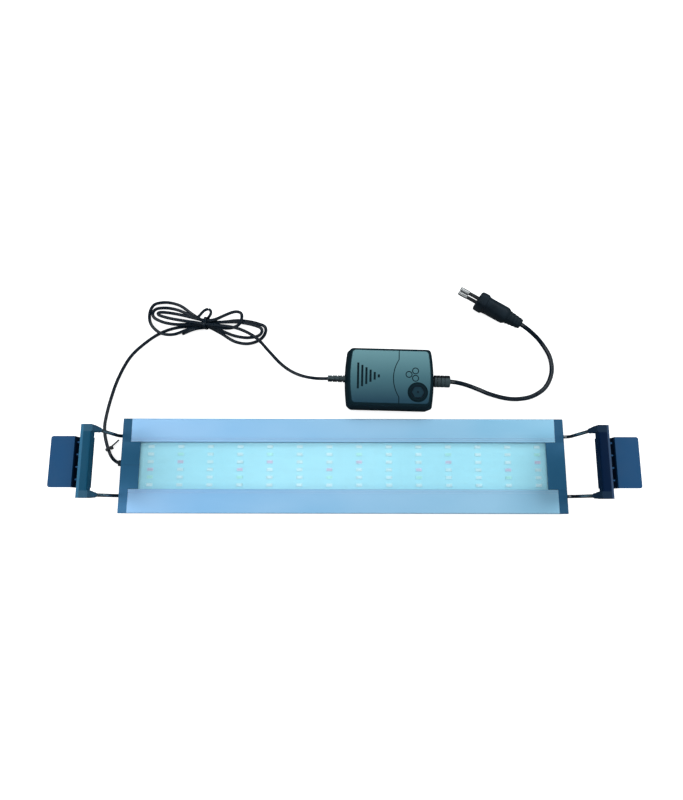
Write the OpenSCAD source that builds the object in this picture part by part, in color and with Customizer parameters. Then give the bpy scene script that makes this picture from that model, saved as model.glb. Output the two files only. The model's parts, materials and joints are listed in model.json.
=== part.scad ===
// Slim LED aquarium light with sliding tank brackets, in-line power supply and Europlug.
// The lamp lies on its back with the light side up (+Z). The origin is the centre of its back face,
// +X runs along the lamp and the brackets, cables and power supply rest on the same plane z = 0.

/* [Lamp] */
// Length over both end caps
lamp_l = 400; // [390:1:410]
// Width across both wings
lamp_w = 85; // [84:0.5:90]
// Thickness from the back face to the light side
lamp_t = 14; // [14:0.5:16]
// Width of the lit window
window_w = 42.5; // [42:0.5:43]
// Thickness of each end cap along the lamp
cap_l = 8; // [7:0.5:10]
// Length of the end cap tab that covers the end of the window, from the outer face
tab_l = 16.5; // [14:0.5:20]

/* [LEDs] */
// LED columns along the lamp
led_cols = 14; // [8:1:14]
// LED rows across the window
led_rows = 6; // [3:1:6]
// Distance between columns
led_pitch_x = 27; // [20:0.5:27]
// Distance between rows
led_pitch_y = 6.9; // [4:0.1:6.9]
// Package length along the lamp
led_l = 5.7; // [2.8:0.1:5.7]
// Package width
led_w = 3; // [1.4:0.1:3]

/* [Brackets] */
// Diameter of the stainless rods
rod_d = 3; // [2.5:0.1:3.5]
// Distance of each rod from the lamp's centre line
rod_y = 27; // [26:0.5:27.5]
// Distance from the end cap's outer face to a rod's upright, left side
left_reach = 5.3; // [5:0.1:20]
// The same, right side
right_reach = 7.8; // [5:0.1:20]
// Height of the crossbar's upper face
bar_top = 71; // [60:1:80]
// Travel of each bracket
slide_travel = 80; // [40:5:80]
// Width of the slot that takes the tank rim
slot_w = 9; // [5:0.5:10]
// Length of the foot across the lamp
foot_l = 42; // [30:1:44]
// Width of the foot's flat pad
pad_w = 19.4; // [12:0.2:24]

/* [Power supply] */
// Case length
supply_l = 82; // [80:1:90]
// Case depth
supply_w = 54.5; // [53:0.5:60]
// Case height
supply_h = 30; // [30:1:34]
// Position of the case centre along X
supply_x = 42.2; // [40:0.2:60]
// Position of the case centre along Y
supply_y = 78.4; // [76:0.2:100]
// Turn of the case on the table, degrees
supply_turn = -1.4; // [-5:0.1:5]
// Diameter of the mode button
button_d = 12.4; // [10:0.2:13]
// Button travel
button_travel = 0.8; // [0.3:0.1:0.8]

/* [Cables] */
// Width of the flat low-voltage cable
dc_w = 3; // [2.6:0.1:3.1]
// Thickness of the flat low-voltage cable
dc_t = 1.9; // [1.4:0.1:1.9]
// Width of the mains cable
ac_w = 4.2; // [3.6:0.1:4.3]
// Thickness of the mains cable
ac_t = 3; // [2.4:0.1:3.2]

/* [Plug] */
// Pin diameter
pin_d = 4; // [4:0.1:4.8]
// Pin length
pin_l = 19; // [18:0.5:19]
// Distance between the pins
pin_gap = 18.6; // [17:0.2:19]
// Direction of the pins on the table, degrees from +X
plug_turn = 149.5; // [140:0.5:160]
// Lean of the plug about its own length, degrees
plug_lean = -11.5; // [-14:0.5:0]

/* [Hidden] */
$fn = 48;

slip = 0.02;             // clearance of glued and crimped parts
run = 0.05;              // radial clearance of a sliding fit
gap = 0.25;              // clearance of loose inner parts
wall = 1.6;              // wall of the aluminium profile

// Lamp cross-section
half_w = lamp_w / 2;
profile_l = lamp_l - 2 * cap_l;
mid_z = lamp_t / 2;
floor_z = 7.5;           // upper face of the profile's floor
pad_t = 0.5;             // thermal pad
board_t = 1.2;
board_z = floor_z + pad_t;
led_z = board_z + board_t;
led_t = 0.8;
groove_z = 11;           // groove that holds the clear cover
groove_t = 1.6;
groove_d = 1.5;
channel_d = 6.2;         // rod channel in the profile
chamber_y0 = 31.4;
chamber_y1 = half_w - wall;
post_y = (chamber_y0 + chamber_y1) / 2;
post_d = 5.4;
screw_d = 2.4;
screw_hole_d = 2.5;
head_d = 4.6;
head_t = 1.6;
fin_pitch = 5;
fin_groove_w = 2.6;
fin_groove_d = 3.6;
line_w = 0.5;            // decorative lines beside the window
line_d = 0.4;
board_l = profile_l - 4;
board_w = window_w - 2 * gap;
cover_t = groove_t - 0.1;
led_x0 = 1;              // the LED grid sits slightly to the right of the centre
cap_step_y = 32.3;       // edge of the raised middle of each cap
cap_step = 0.5;
tab_t = 1.4;
tongue_l = 5;
cable_y = 2.2;           // where the cable leaves the left cap
cable_z = 6.5;

// Brackets, u is the distance outward from the rods' uprights
bend_r = 5;
rod_top = bar_top - 5;
socket_tip_z = bar_top - 19.3;
socket_tip_r = 2.3;
bar_w = 7.2;
bar_h = 8;
bar_u = 2.3;             // the crossbar's centre stands outward of the rods
bar_end_y = rod_y + 2.6;
stop_d = 6;
stop_l = 6;
rod_inner = lamp_l / 2 - cap_l - slide_travel - stop_l - 0.2;
lip_t = 1.5;             // lip of the foot, under an overhang of the crossbar
lip_top = bar_top - 2;
slot_u0 = bar_u + bar_w / 2 + lip_t;
slot_u1 = slot_u0 + slot_w;
pad_top = bar_top - 11;
pad_plate_t = 2.8;
web_t = 2.5;
slot_floor_z = bar_top - 22.5;
rib_n = 4;
rib_pitch = 10;
rib_w = 1.2;
rib_h = 2.4;
rib_drop = 0.4;          // the ribs end this far below the lip's top
foot_screw_y = 10;
foot_screw_z = bar_top - 5;

// Power supply
split_z = supply_h / 2;
case_wall = 2;
end_bow = 1.6;           // how far the ends bulge
corner_r = 3.5;
draft_x = 4.2;
draft_y = 1.5;
button_x = 24.5;
button_y = -13.7;
bezel_d = 15.2;
bezel_h = 0.9;
trench_d = 18.2;         // sunk ring round the bezel
boss_x = 32;
boss_y = 20;
pcb_z = 5;
pcb_t = 1.6;
switch_z = 19;
seam_x = 2.3;            // line across the lid, curved in its middle
seam_y = -1.3;
seam_r = 32.3;
seam_angle = 32;
seam_w = 0.7;
rings_x = 20.5;          // three small engraved rings next to the button
rings_y = 2.4;
rings_r = 3.9;
ring_r = 2.7;
dc_bore_r = 1.75;
ac_bore_r = 2.5;
neck_l = 4.2;            // wall that each strain relief is clipped into
dc_neck_d = 6;
ac_neck_d = 8;
flange_extra = 2;        // a relief's flange is this much wider than its neck
flange_t = 2;

// Plug
plug_face = [125.9, 154.6, 17.8];
plug_l = 46;
bare_l = 9;
// Sections of the plug: [x, half height across the pins, half thickness]
plug_sections = [[0, 16.6, 6.6], [-1.2, 17.5, 7.6], [-4.5, 17.6, 7.9], [-7.8, 17.3, 7.8], [-9, 16.3, 7.1],
    [-12.5, 15.2, 6.9], [-20, 13.5, 7.2], [-28, 11.4, 7.5], [-29.6, 10.8, 7.4], [-31, 9.7, 6.8],
    [-32.2, 9.2, 6.2], [-38, 7.6, 5.6], [-plug_l + 0.6, 5.8, 4.8], [-plug_l, 5, 4.2]];

// ---------- helpers ----------

module mirrored_x() { children(); mirror([1, 0, 0]) children(); }
module mirrored_y() { children(); mirror([0, 1, 0]) children(); }

// A section drawn as (y, z), extruded along X from x0
module along_x(x0, length) {
    translate([x0, 0, 0]) rotate([90, 0, 90]) linear_extrude(length) children();
}

// A section drawn as (x, z), extruded along Y and centred on y = 0
module along_y(length) {
    translate([0, length / 2, 0]) rotate([90, 0, 0]) linear_extrude(length) children();
}

// Rectangle with round corners, lower left at the origin, kept as true arcs
module round_rect(size, r) {
    translate([r, 0]) square([size.x - 2 * r, size.y]);
    translate([0, r]) square([size.x, size.y - 2 * r]);
    for (x = [r, size.x - r], y = [r, size.y - r]) translate([x, y]) circle(r);
}

module x_cylinder(x0, length, d, y, z) {
    translate([x0, y, z]) rotate([0, 90, 0]) cylinder(d = d, h = length);
}

// Catmull-Rom point between b and c at t
function spline_point(a, b, c, d, t) =
    0.5 * (2 * b + (c - a) * t + (2 * a - 5 * b + 4 * c - d) * t * t + (3 * b - a - 3 * c + d) * t * t * t);

function spline(points, steps) = let (n = len(points)) concat(
    [for (i = [0 : n - 2], s = [0 : steps - 1])
        spline_point(points[max(i - 1, 0)], points[i], points[i + 1], points[min(i + 2, n - 1)], s / steps)],
    [points[n - 1]]);

function unit(v) = v / norm(v);

// Oval section of width w and thickness t swept along a line of points, its width kept level
module sweep_oval(points, w, t, sides = 8) {
    n = len(points);
    rings = [for (i = [0 : n - 1])
        let (along = unit(points[min(i + 1, n - 1)] - points[max(i - 1, 0)]),
             side = unit(cross([0, 0, 1], along)),
             up = cross(along, side))
        [for (k = [0 : sides - 1])
            let (a = 360 * (k + 0.5) / sides, grow = 1 / cos(180 / sides))
            points[i] + side * cos(a) * w / 2 * grow + up * sin(a) * t / 2 * grow]];
    skin(rings);
}

// Closed skin over rings with the same number of points
module skin(rings) {
    n = len(rings);
    sides = len(rings[0]);
    tube = [for (i = [0 : n - 2], k = [0 : sides - 1])
        let (k2 = (k + 1) % sides)
        [i * sides + k, (i + 1) * sides + k, (i + 1) * sides + k2, i * sides + k2]];
    polyhedron([for (ring = rings, p = ring) p], concat(tube, [[for (k = [0 : sides - 1]) k]],
        [[for (k = [sides - 1 : -1 : 0]) (n - 1) * sides + k]]), convexity = 10);
}

// ---------- lamp ----------

module profile_section() {
    difference() {
        translate([-half_w, 0]) round_rect([lamp_w, lamp_t], 1);
        translate([-window_w / 2, floor_z]) square([window_w, lamp_t]);
        translate([-window_w / 2 - groove_d, groove_z]) square([window_w + 2 * groove_d, groove_t]);
        mirrored_x() {
            translate([rod_y, mid_z]) circle(d = channel_d);
            difference() {
                translate([chamber_y0, wall]) square([chamber_y1 - chamber_y0, lamp_t - 2 * wall]);
                translate([post_y, mid_z]) circle(d = post_d);
                translate([post_y - 1, 0]) square([2, lamp_t]);
            }
            translate([post_y, mid_z]) circle(d = screw_hole_d);
            for (i = [1 : 3]) translate([fin_pitch * (i + 0.5) - fin_groove_w / 2, -1])
                square([fin_groove_w, fin_groove_d + 1]);
            for (i = [0 : 3]) translate([24 + 4 * i, -1]) square([1, 1.6]);
            for (i = [0 : 1]) translate([window_w / 2 + 1.4 + 1.5 * i, lamp_t - line_d]) square([line_w, 1]);
        }
    }
}

module lamp_body() {
    color("lightsteelblue") difference() {
        along_x(-profile_l / 2, profile_l) profile_section();
        for (x = [-1, 1], y = [-1, 1]) translate([x * board_screw_x(), y * board_screw_y(), 3.9])
            cylinder(d = 2, h = lamp_t);
    }
}

function board_screw_x() = board_l / 2 - 4;
function board_screw_y() = 15;

module thermal_pad() {
    color("gainsboro") translate([-board_l / 2 + 8, -board_w / 2 + 1, floor_z])
        cube([board_l - 16, board_w - 2, pad_t]);
}

module led_board() {
    color("white") difference() {
        translate([-board_l / 2, -board_w / 2, board_z]) cube([board_l, board_w, board_t]);
        for (x = [-1, 1], y = [-1, 1]) translate([x * board_screw_x(), y * board_screw_y(), board_z - 1])
            cylinder(d = 2.4, h = board_t + 2);
    }
}

module board_screws() {
    color("silver") for (x = [-1, 1], y = [-1, 1])
        translate([x * board_screw_x(), y * board_screw_y(), 0]) difference() {
            union() {
                translate([0, 0, 4.2]) cylinder(d = 1.9, h = led_z - 4.2 + 0.2);
                translate([0, 0, led_z]) cylinder(d = 3.8, h = 1.1);
            }
            translate([-1.2, -0.25, led_z + 0.6]) cube([2.4, 0.5, 1]);
            translate([-0.25, -1.2, led_z + 0.6]) cube([0.5, 2.4, 1]);
        }
}

// LED kind at column i and row j, row 0 at +Y: columns repeat in threes
function led_kind(i, j) = let (c = i % 3)
    (c == 0 && j == 3) || (c == 1 && j == 2) ? "red"
    : (c == 0 && j == 4) || (c == 1 && j == 1) ? "green" : "white";

module leds(kind) {
    for (i = [0 : led_cols - 1], j = [0 : led_rows - 1])
        if (led_kind(i, j) == kind)
            translate([led_x0 + (i - (led_cols - 1) / 2) * led_pitch_x,
                ((led_rows - 1) / 2 - j) * led_pitch_y, led_z])
            difference() {
                translate([-led_l / 2, -led_w / 2, 0]) cube([led_l, led_w, led_t]);
                translate([-led_l / 2 + 0.5, -led_w / 2 + 0.4, led_t - 0.2]) cube([led_l - 1, led_w - 0.8, 1]);
            }
}

module white_leds() { color("ivory") leds("white"); }
module red_leds() { color("salmon") leds("red"); }
module green_leds() { color("palegreen") leds("green"); }

// Current-limiting chips, out of sight under the left tab
module board_resistors() {
    color("black") for (i = [0 : 5], k = [0 : 1])
        translate([-board_l / 2 + 0.4 + 2.4 * k, -12.4 + 1.9 * i, led_z]) cube([2, 1.25, 0.6]);
}

module lead(y0, y1) {
    points = [[-lamp_l / 2 + 5.2, y0, cable_z], [-lamp_l / 2 + 6.4, y0, cable_z + 0.6],
        [-lamp_l / 2 + 7.8, (y0 + y1) / 2, led_z + 0.9], [-lamp_l / 2 + 12.5, y1, led_z + 0.9]];
    sweep_oval(spline(points, 4), 1.1, 1.1);
}

module positive_lead() { color("red") lead(cable_y + 0.7, 6); }
module negative_lead() { color("black") lead(cable_y - 0.7, 1.4); }

module solder_joints() {
    color("silver") for (y = [6, 1.4]) translate([-lamp_l / 2 + 14.4, y, led_z])
        rotate_extrude() intersection() {
            scale([1.5, 1]) circle(1);
            square([2, 1]);
        }
}

module clear_cover() {
    w = window_w + 2 * groove_d - 2 * gap;
    color([0.8, 0.95, 1, 0.4]) translate([-profile_l / 2, -w / 2, groove_z + 0.05])
        cube([profile_l, w, cover_t]);
}

// ---------- end caps ----------

// Right-hand cap; x is measured from the cap's inner face
module end_cap() {
    difference() {
        union() {
            along_x(0, cap_l) translate([-half_w, 0]) round_rect([lamp_w, lamp_t], 1);
            translate([0, -cap_step_y, lamp_t - 1]) cube([cap_l - 0.6, 2 * cap_step_y, 1 + cap_step]);
            translate([cap_l - tab_l, -window_w / 2 + 0.3, groove_z + groove_t + 0.1])
                cube([tab_l - 1, window_w - 0.6, lamp_t + cap_step - groove_z - groove_t - 0.1]);
            mirrored_y() translate([-tongue_l, chamber_y1 - 1.8, wall + 0.2])
                cube([tongue_l + 1, 1.6, lamp_t - 2 * wall - 0.4]);
        }
        mirrored_y() {
            x_cylinder(-1, cap_l + 2, rod_d + 2 * run, rod_y, mid_z);
            x_cylinder(-1, cap_l + 2, screw_d + 0.4, post_y, mid_z);
            x_cylinder(cap_l - head_t - 0.4, head_t + 1, head_d + 0.4, post_y, mid_z);
        }
    }
}

module left_end_cap() {
    color("darkslateblue") difference() {
        translate([-profile_l / 2, 0, 0]) mirror([1, 0, 0]) end_cap();
        x_cylinder(-lamp_l / 2 - 1, cap_l, 5 + 2 * slip, cable_y, cable_z);
        translate([-lamp_l / 2 + 5, cable_y - 3.4, cable_z - 2.5]) cube([cap_l, 8.6, 7.4]);
        translate([-lamp_l / 2 - 1, -0.25, lamp_t + cap_step - 0.25]) cube([tab_l + 2, 0.5, 1]);
    }
}

module right_end_cap() { color("darkslateblue") translate([profile_l / 2, 0, 0]) end_cap(); }

module cap_screw() {
    difference() {
        union() {
            x_cylinder(-9, 9 + cap_l - head_t - 0.3, screw_d, post_y, mid_z);
            x_cylinder(cap_l - head_t - 0.4, head_t, head_d, post_y, mid_z);
        }
        translate([cap_l - 1.2, post_y - 1.4, mid_z - 0.3]) cube([2, 2.8, 0.6]);
        translate([cap_l - 1.2, post_y - 0.3, mid_z - 1.4]) cube([2, 0.6, 2.8]);
    }
}

module end_cap_screws() {
    color("silver") mirrored_x() mirrored_y() translate([profile_l / 2, 0, 0]) cap_screw();
}

module cable_grommet() {
    x = -lamp_l / 2;
    color("black") difference() {
        union() {
            x_cylinder(x, 5, 5, cable_y, cable_z);
            translate([x, cable_y, cable_z]) rotate([0, -90, 0]) cylinder(d1 = 7, d2 = 6, h = 1.2);
            translate([x, cable_y, cable_z]) rotate([0, -90, 0]) cylinder(d1 = 6, d2 = 5.4, h = 4.6);
        }
        x_cylinder(x - 6, 13, 2 * dc_bore_r, cable_y, cable_z);
        translate([x - 1, cable_y, cable_z]) rotate([0, -90, 0]) cylinder(r1 = dc_bore_r, r2 = 2.4, h = 4);
    }
}

// ---------- brackets ----------

// A rod of the right-hand bracket: x is measured from the upright
module rod(reach) {
    inner = rod_inner - lamp_l / 2 - reach;
    r = rod_d / 2;
    x_cylinder(inner, -bend_r - inner, rod_d, 0, mid_z);
    translate([-bend_r, 0, mid_z + bend_r]) rotate([90, 0, 0]) rotate([0, 0, -90])
        rotate_extrude(angle = 90) translate([bend_r, 0]) circle(r);
    translate([0, 0, mid_z + bend_r]) cylinder(r = r, h = rod_top - mid_z - bend_r);
}

module rod_stops(reach) {
    inner = rod_inner - lamp_l / 2 - reach;
    for (y = [-rod_y, rod_y]) difference() {
        x_cylinder(inner, stop_l, stop_d, y, mid_z);
        x_cylinder(inner - 1, stop_l + 2, rod_d + 2 * slip, y, mid_z);
    }
}

module socket() {
    hull() {
        translate([0, rod_y, socket_tip_z]) cylinder(r = socket_tip_r, h = 0.5, $fn = 32);
        translate([bar_u, rod_y - 0.6, bar_top - 4]) sphere(r = 4, $fn = 32);
        translate([bar_u - 2, rod_y - 4, bar_top - 8]) cube([4, 6, 7]);
    }
}

module crossbar() {
    difference() {
        union() {
            along_y(2 * rod_y) translate([bar_u - bar_w / 2, bar_top - bar_h]) round_rect([bar_w, bar_h], 1.6);
            along_y(2 * bar_end_y) translate([bar_u - bar_w / 2, lip_top + slip])
                round_rect([bar_w + lip_t, bar_top - lip_top - slip], 0.9);
            mirrored_y() socket();
        }
        for (y = [-rod_y, rod_y]) translate([0, y, socket_tip_z - 1])
            cylinder(d = rod_d + 2 * slip, h = rod_top + slip - socket_tip_z + 1);
        for (y = [-foot_screw_y, foot_screw_y]) translate([bar_u - 1.5, y, foot_screw_z]) rotate([0, 90, 0])
            cylinder(d = 2, h = bar_w);
    }
}

// Foot: a channel for the tank rim with a wide flat pad outside it
module foot_section() {
    u = bar_u + bar_w / 2 + slip;
    translate([u, slot_floor_z - web_t]) square([lip_t - slip, lip_top - slot_floor_z + web_t]);
    translate([u, slot_floor_z - web_t]) square([slot_u1 - u + web_t, web_t]);
    translate([slot_u1, slot_floor_z - web_t]) square([web_t, pad_top - slot_floor_z + web_t]);
    translate([slot_u1, pad_top - pad_plate_t]) square([pad_w, pad_plate_t]);
}

module foot() {
    outer = slot_u1 + pad_w;
    difference() {
        intersection() {
            union() {
                along_y(foot_l) foot_section();
                for (i = [0 : rib_n - 1])
                    translate([slot_u0, (i - (rib_n - 1) / 2) * rib_pitch, slot_floor_z])
                        translate([-0.1, -rib_w / 2, -0.1])
                        cube([rib_h + 0.1, rib_w, lip_top - rib_drop - slot_floor_z + 0.1]);
            }
            translate([-10, -foot_l / 2, 0]) linear_extrude(bar_top) round_rect([outer + 10, foot_l], 2);
        }
        for (y = [-foot_screw_y, foot_screw_y]) translate([0, y, foot_screw_z]) rotate([0, 90, 0]) {
            cylinder(d = 2.2, h = outer);
            translate([0, 0, slot_u0 - 1.1]) cylinder(d1 = 2.2, d2 = 4.4, h = 1.1 + slip);
        }
    }
}

module foot_screws() {
    for (y = [-foot_screw_y, foot_screw_y]) translate([0, y, foot_screw_z]) rotate([0, 90, 0]) difference() {
        union() {
            translate([0, 0, bar_u - 1]) cylinder(d = 1.9, h = slot_u0 - bar_u + 0.5);
            translate([0, 0, slot_u0 - 1.1]) cylinder(d1 = 2.1, d2 = 4.2, h = 1.05);
        }
        translate([-1, -0.25, slot_u0 - 0.5]) cube([2, 0.5, 2]);
    }
}

module at_right() { translate([lamp_l / 2 + right_reach, 0, 0]) children(); }
module at_left() { mirror([1, 0, 0]) translate([lamp_l / 2 + left_reach, 0, 0]) children(); }

module left_front_rod() { color("silver") at_left() translate([0, -rod_y, 0]) rod(left_reach); }
module left_rear_rod() { color("silver") at_left() translate([0, rod_y, 0]) rod(left_reach); }
module left_rod_stops() { color("dimgray") at_left() rod_stops(left_reach); }
module left_crossbar() { color("darkslateblue") at_left() crossbar(); }
module left_foot() { color("steelblue") at_left() foot(); }
module left_foot_screws() { color("silver") at_left() foot_screws(); }
module right_front_rod() { color("silver") at_right() translate([0, -rod_y, 0]) rod(right_reach); }
module right_rear_rod() { color("silver") at_right() translate([0, rod_y, 0]) rod(right_reach); }
module right_rod_stops() { color("dimgray") at_right() rod_stops(right_reach); }
module right_crossbar() { color("darkslateblue") at_right() crossbar(); }
module right_foot() { color("steelblue") at_right() foot(); }
module right_foot_screws() { color("silver") at_right() foot_screws(); }

// ---------- low-voltage cable ----------

// The spare length is wound into a hank: six lobes, right and left in turn, tied at its waist.
hank_x = -131;
hank_y = 135.4;
hank_turn = -10;
hank_z = 1.7;
hank_rise = 2.8;         // height gained per turn
waist_half = 1.9;        // strands pass the waist this far to each side of its axis
waist_w = 26;
lay_z = 1;               // height of the cable's centre on the table
// Each lobe: [length, half width, sideways shift, extra shift of its far end]
lobes = [[57, 15.5, -2, 5], [56, 22.5, -1.8, 4], [54, 10, -0.5, 2],
    [52, 11, 1, 0], [33, 17, 12, 0], [46, 4, 0.5, 0]];
lobe_fullness = 0.75;    // below 1 keeps a lobe wide up to its far end
lobe_steps = 12;

function hank_point(k) =
    let (lobe = lobes[min(floor(k / lobe_steps), len(lobes) - 1)],
         a = -90 + 180 * k / lobe_steps,
         u = lobe[0] * cos(a),
         pinch = exp(-pow(u / waist_w, 2)),
         across = sign(sin(a)) * pow(abs(sin(a)), lobe_fullness),
         shift = lobe[2] * (1 - pinch) + lobe[3] * pow(cos(a), 6),
         v = across * (lobe[1] * (1 - pinch) + waist_half * pinch) + shift)
    [hank_x + u * cos(hank_turn) - v * sin(hank_turn),
     hank_y + u * sin(hank_turn) + v * cos(hank_turn),
     hank_z + hank_rise * k / (2 * lobe_steps)];

lead_in = [[-lamp_l / 2 + 4.8, cable_y, cable_z], [-lamp_l / 2 - 1, cable_y, cable_z],
    [-lamp_l / 2 - 6.5, 3.2, 5.6], [-213, 8, 2.4], [-217.5, 16, lay_z], [-220.5, 25, lay_z],
    [-222, 33, lay_z], [-222, 42, lay_z], [-219, 60, lay_z], [-213, 82, lay_z], [-203, 103, lay_z],
    [-189, 117.5, lay_z], [-175, 127.2, lay_z], [-161, 132.2, lay_z], [-146, 133.6, hank_z - 0.2]];
lead_out = [[-110, 131, 10.6], [-97, 128, 10.4], [-82, 120, 9], [-67, 105, 4], [-50, 90, 1.4],
    [-41, 85.5, 2.6], [-28, 81.3, 10], [-20, 80, 14]];

module dc_cable() {
    hank = [for (k = [0 : lobe_steps * len(lobes)]) hank_point(k)];
    end_a = supply_point([-supply_l / 2 - 13, 0, split_z]);
    end_b = supply_point([-supply_l / 2 + 5, 0, split_z]);
    color("black") sweep_oval(spline(concat(lead_in, hank, lead_out, [end_a, end_b]), 3), dc_w, dc_t);
}

// Small nylon tie round the cable beside the lamp
module cable_tie() {
    color("black") translate([-217.2, 15.4, lay_z]) rotate([0, 5, 115]) {
        difference() {
            translate([-1.1, 0, 0]) rotate([90, 0, 90]) linear_extrude(2.2) translate([-2.4, -0.8])
                round_rect([4.8, 2.75], 0.9);
            translate([-2, 0, 0]) rotate([90, 0, 90]) linear_extrude(4) translate([-1.75, -0.98])
                square([3.5, 2.1]);
        }
        translate([-1.5, -4.6, -0.7]) cube([3, 2.3, 2.6]);
        translate([0.6, -3.2, 0.5]) rotate([0, 0, 20]) translate([-0.6, -9.5, 0]) cube([1.2, 9.5, 0.8]);
    }
}

module twist_tie() {
    top = hank_z + 3 * hank_rise + dc_t / 2 + 0.3;
    color("black") translate([hank_x, hank_y, 0]) rotate([0, 0, hank_turn]) {
        along_x(-1.8, 3.6) difference() {
            translate([-5.3, 0.1]) round_rect([10.6, top + 0.5], 1.5);
            translate([-4.7, 0.6]) round_rect([9.4, top - 0.5], 0.6);
        }
        for (side = [-1, 1]) translate([0, 0.5 * side, top + 0.4]) rotate([-30 - 45 * side, 25 * side, 0])
            cylinder(d = 1.2, h = 11);
    }
}

// ---------- power supply ----------

module at_supply() { translate([supply_x, supply_y, 0]) rotate([0, 0, supply_turn]) children(); }

function supply_point(p) = [supply_x + p.x * cos(supply_turn) - p.y * sin(supply_turn),
    supply_y + p.x * sin(supply_turn) + p.y * cos(supply_turn), p.z];

// Outline with bulging ends, pulled in by dx and dy
function case_outline(dx, dy) =
    let (half_l = supply_l / 2 - dx,
         half_d = supply_w / 2 - dy,
         steps = 4,
         end_edge = [for (i = [0 : steps]) let (t = i / steps)
            [half_l - end_bow * t * t, (half_d - corner_r) * t]],
         corner = [for (i = [1 : 4]) let (a = 22.5 * i)
            [half_l - end_bow - corner_r + corner_r * cos(a), half_d - corner_r + corner_r * sin(a)]],
         quarter = concat(end_edge, corner),
         n = len(quarter))
    concat(quarter,
        [for (i = [n - 1 : -1 : 0]) [-quarter[i].x, quarter[i].y]],
        [for (i = [1 : n - 1]) [-quarter[i].x, -quarter[i].y]],
        [for (i = [n - 1 : -1 : 1]) [quarter[i].x, -quarter[i].y]]);

// Straight-sided solid between the outline a at z0 and the outline b at z1
module tapered(a, z0, b, z1) {
    n = len(a);
    polyhedron(concat([for (p = a) [p.x, p.y, z0]], [for (p = b) [p.x, p.y, z1]]),
        concat([[for (i = [0 : n - 1]) i]], [[for (i = [n - 1 : -1 : 0]) n + i]],
            [for (i = [0 : n - 1]) let (k = (i + 1) % n) each [[i, n + i, k], [k, n + i, n + k]]]));
}

// Stepped hole for a strain relief: its neck in the wall, its flange behind the wall
module case_port(neck_d) {
    x_cylinder(supply_l / 2 - neck_l - slip, neck_l + 2, neck_d + 2 * slip, 0, split_z);
    x_cylinder(supply_l / 2 - 9.5, 9.5 - neck_l + slip, neck_d + flange_extra + gap, 0, split_z);
}

module case_ports() {
    mirror([1, 0, 0]) case_port(dc_neck_d);
    case_port(ac_neck_d);
}

module supply_base() {
    color("darkslategray") at_supply() difference() {
        union() {
            difference() {
                tapered(case_outline(draft_x * 0.5, draft_y * 0.5), 0, case_outline(0, 0), split_z);
                translate([-supply_l / 2 + 6.5, -supply_w / 2 + 3, case_wall])
                    cube([supply_l - 13, supply_w - 6, split_z]);
            }
            for (s = [-1, 1]) translate([s * boss_x, s * boss_y, 1]) cylinder(d = 7, h = split_z - 1);
            for (s = [-1, 1]) translate([s * boss_x, -s * boss_y, 1]) cylinder(d = 4, h = pcb_z - 1);
        }
        for (s = [-1, 1]) translate([s * boss_x, s * boss_y, -1]) {
            cylinder(d = 3.2, h = split_z + 2);
            cylinder(d = 5.4, h = 5);
        }
        case_ports();
    }
}

// Six grooves that shrink to an arrow head
module arrow_grooves() {
    for (i = [0 : 5]) let (half = 11.9 - 2.1 * i)
        translate([-30 + 3.72 * i, -half + 0.3, supply_h - 0.7]) cube([1.9, 2 * half, 1]);
}

// Line between the plain and the button side of the lid: an arc with a straight run to each edge
module lid_seam() {
    reach = seam_r * sin(seam_angle);
    translate([seam_x + seam_r, seam_y, supply_h - 0.5]) {
        rotate([0, 0, 180 - seam_angle]) rotate_extrude(angle = 2 * seam_angle, $fn = 96)
            translate([seam_r - seam_w, 0]) square([seam_w, 1]);
        for (y = [-reach - supply_w / 2, reach]) translate([-seam_r * cos(seam_angle), y, 0])
            cube([seam_w, supply_w / 2, 1]);
    }
}

module engraved_rings() {
    for (i = [0 : 2]) let (a = 60 + 120 * i)
        translate([rings_x + rings_r * cos(a), rings_y + rings_r * sin(a), supply_h - 0.4]) difference() {
            cylinder(r = ring_r + 0.35, h = 1);
            translate([0, 0, -1]) cylinder(r = ring_r - 0.35, h = 3);
        }
}

module bezel_trench() {
    translate([button_x, button_y, supply_h - 0.6]) difference() {
        cylinder(d = trench_d, h = 1);
        translate([0, 0, -1]) cylinder(d = bezel_d, h = 3);
    }
}

module supply_lid() {
    color("darkslategray") at_supply() difference() {
        union() {
            difference() {
                tapered(case_outline(0, 0), split_z, case_outline(draft_x * 0.7, draft_y * 0.7), supply_h);
                translate([-supply_l / 2 + 8.5, -supply_w / 2 + 4, split_z - 1])
                    cube([supply_l - 17, supply_w - 8, supply_h - split_z - case_wall + 1]);
            }
            translate([button_x, button_y, supply_h - 0.5]) cylinder(d = bezel_d, h = 0.5 + bezel_h);
            for (s = [-1, 1]) translate([s * boss_x, s * boss_y, split_z])
                cylinder(d = 7, h = supply_h - split_z - 1);
            for (dy = [-6, 6]) translate([button_x - 9.5, button_y + dy, switch_z + pcb_t])
                cylinder(d = 3.6, h = supply_h - switch_z - pcb_t - 1);
        }
        translate([button_x, button_y, split_z]) cylinder(d = button_d + 0.2, h = supply_h);
        translate([button_x, button_y, split_z]) cylinder(d = 15.6, h = supply_h - case_wall - split_z + 0.01);
        for (s = [-1, 1]) translate([s * boss_x, s * boss_y, split_z - 1]) cylinder(d = 2.5, h = 10);
        arrow_grooves();
        lid_seam();
        engraved_rings();
        bezel_trench();
        case_ports();
    }
}

module supply_screws() {
    color("silver") at_supply() for (s = [-1, 1]) translate([s * boss_x, s * boss_y, 0]) difference() {
        union() {
            translate([0, 0, 3]) cylinder(d = 2.4, h = split_z + 4);
            translate([0, 0, 2.2]) cylinder(d = 5, h = 1.75);
        }
        translate([-1.4, -0.3, 2]) cube([2.8, 0.6, 1.2]);
        translate([-0.3, -1.4, 2]) cube([0.6, 2.8, 1.2]);
    }
}

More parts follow.
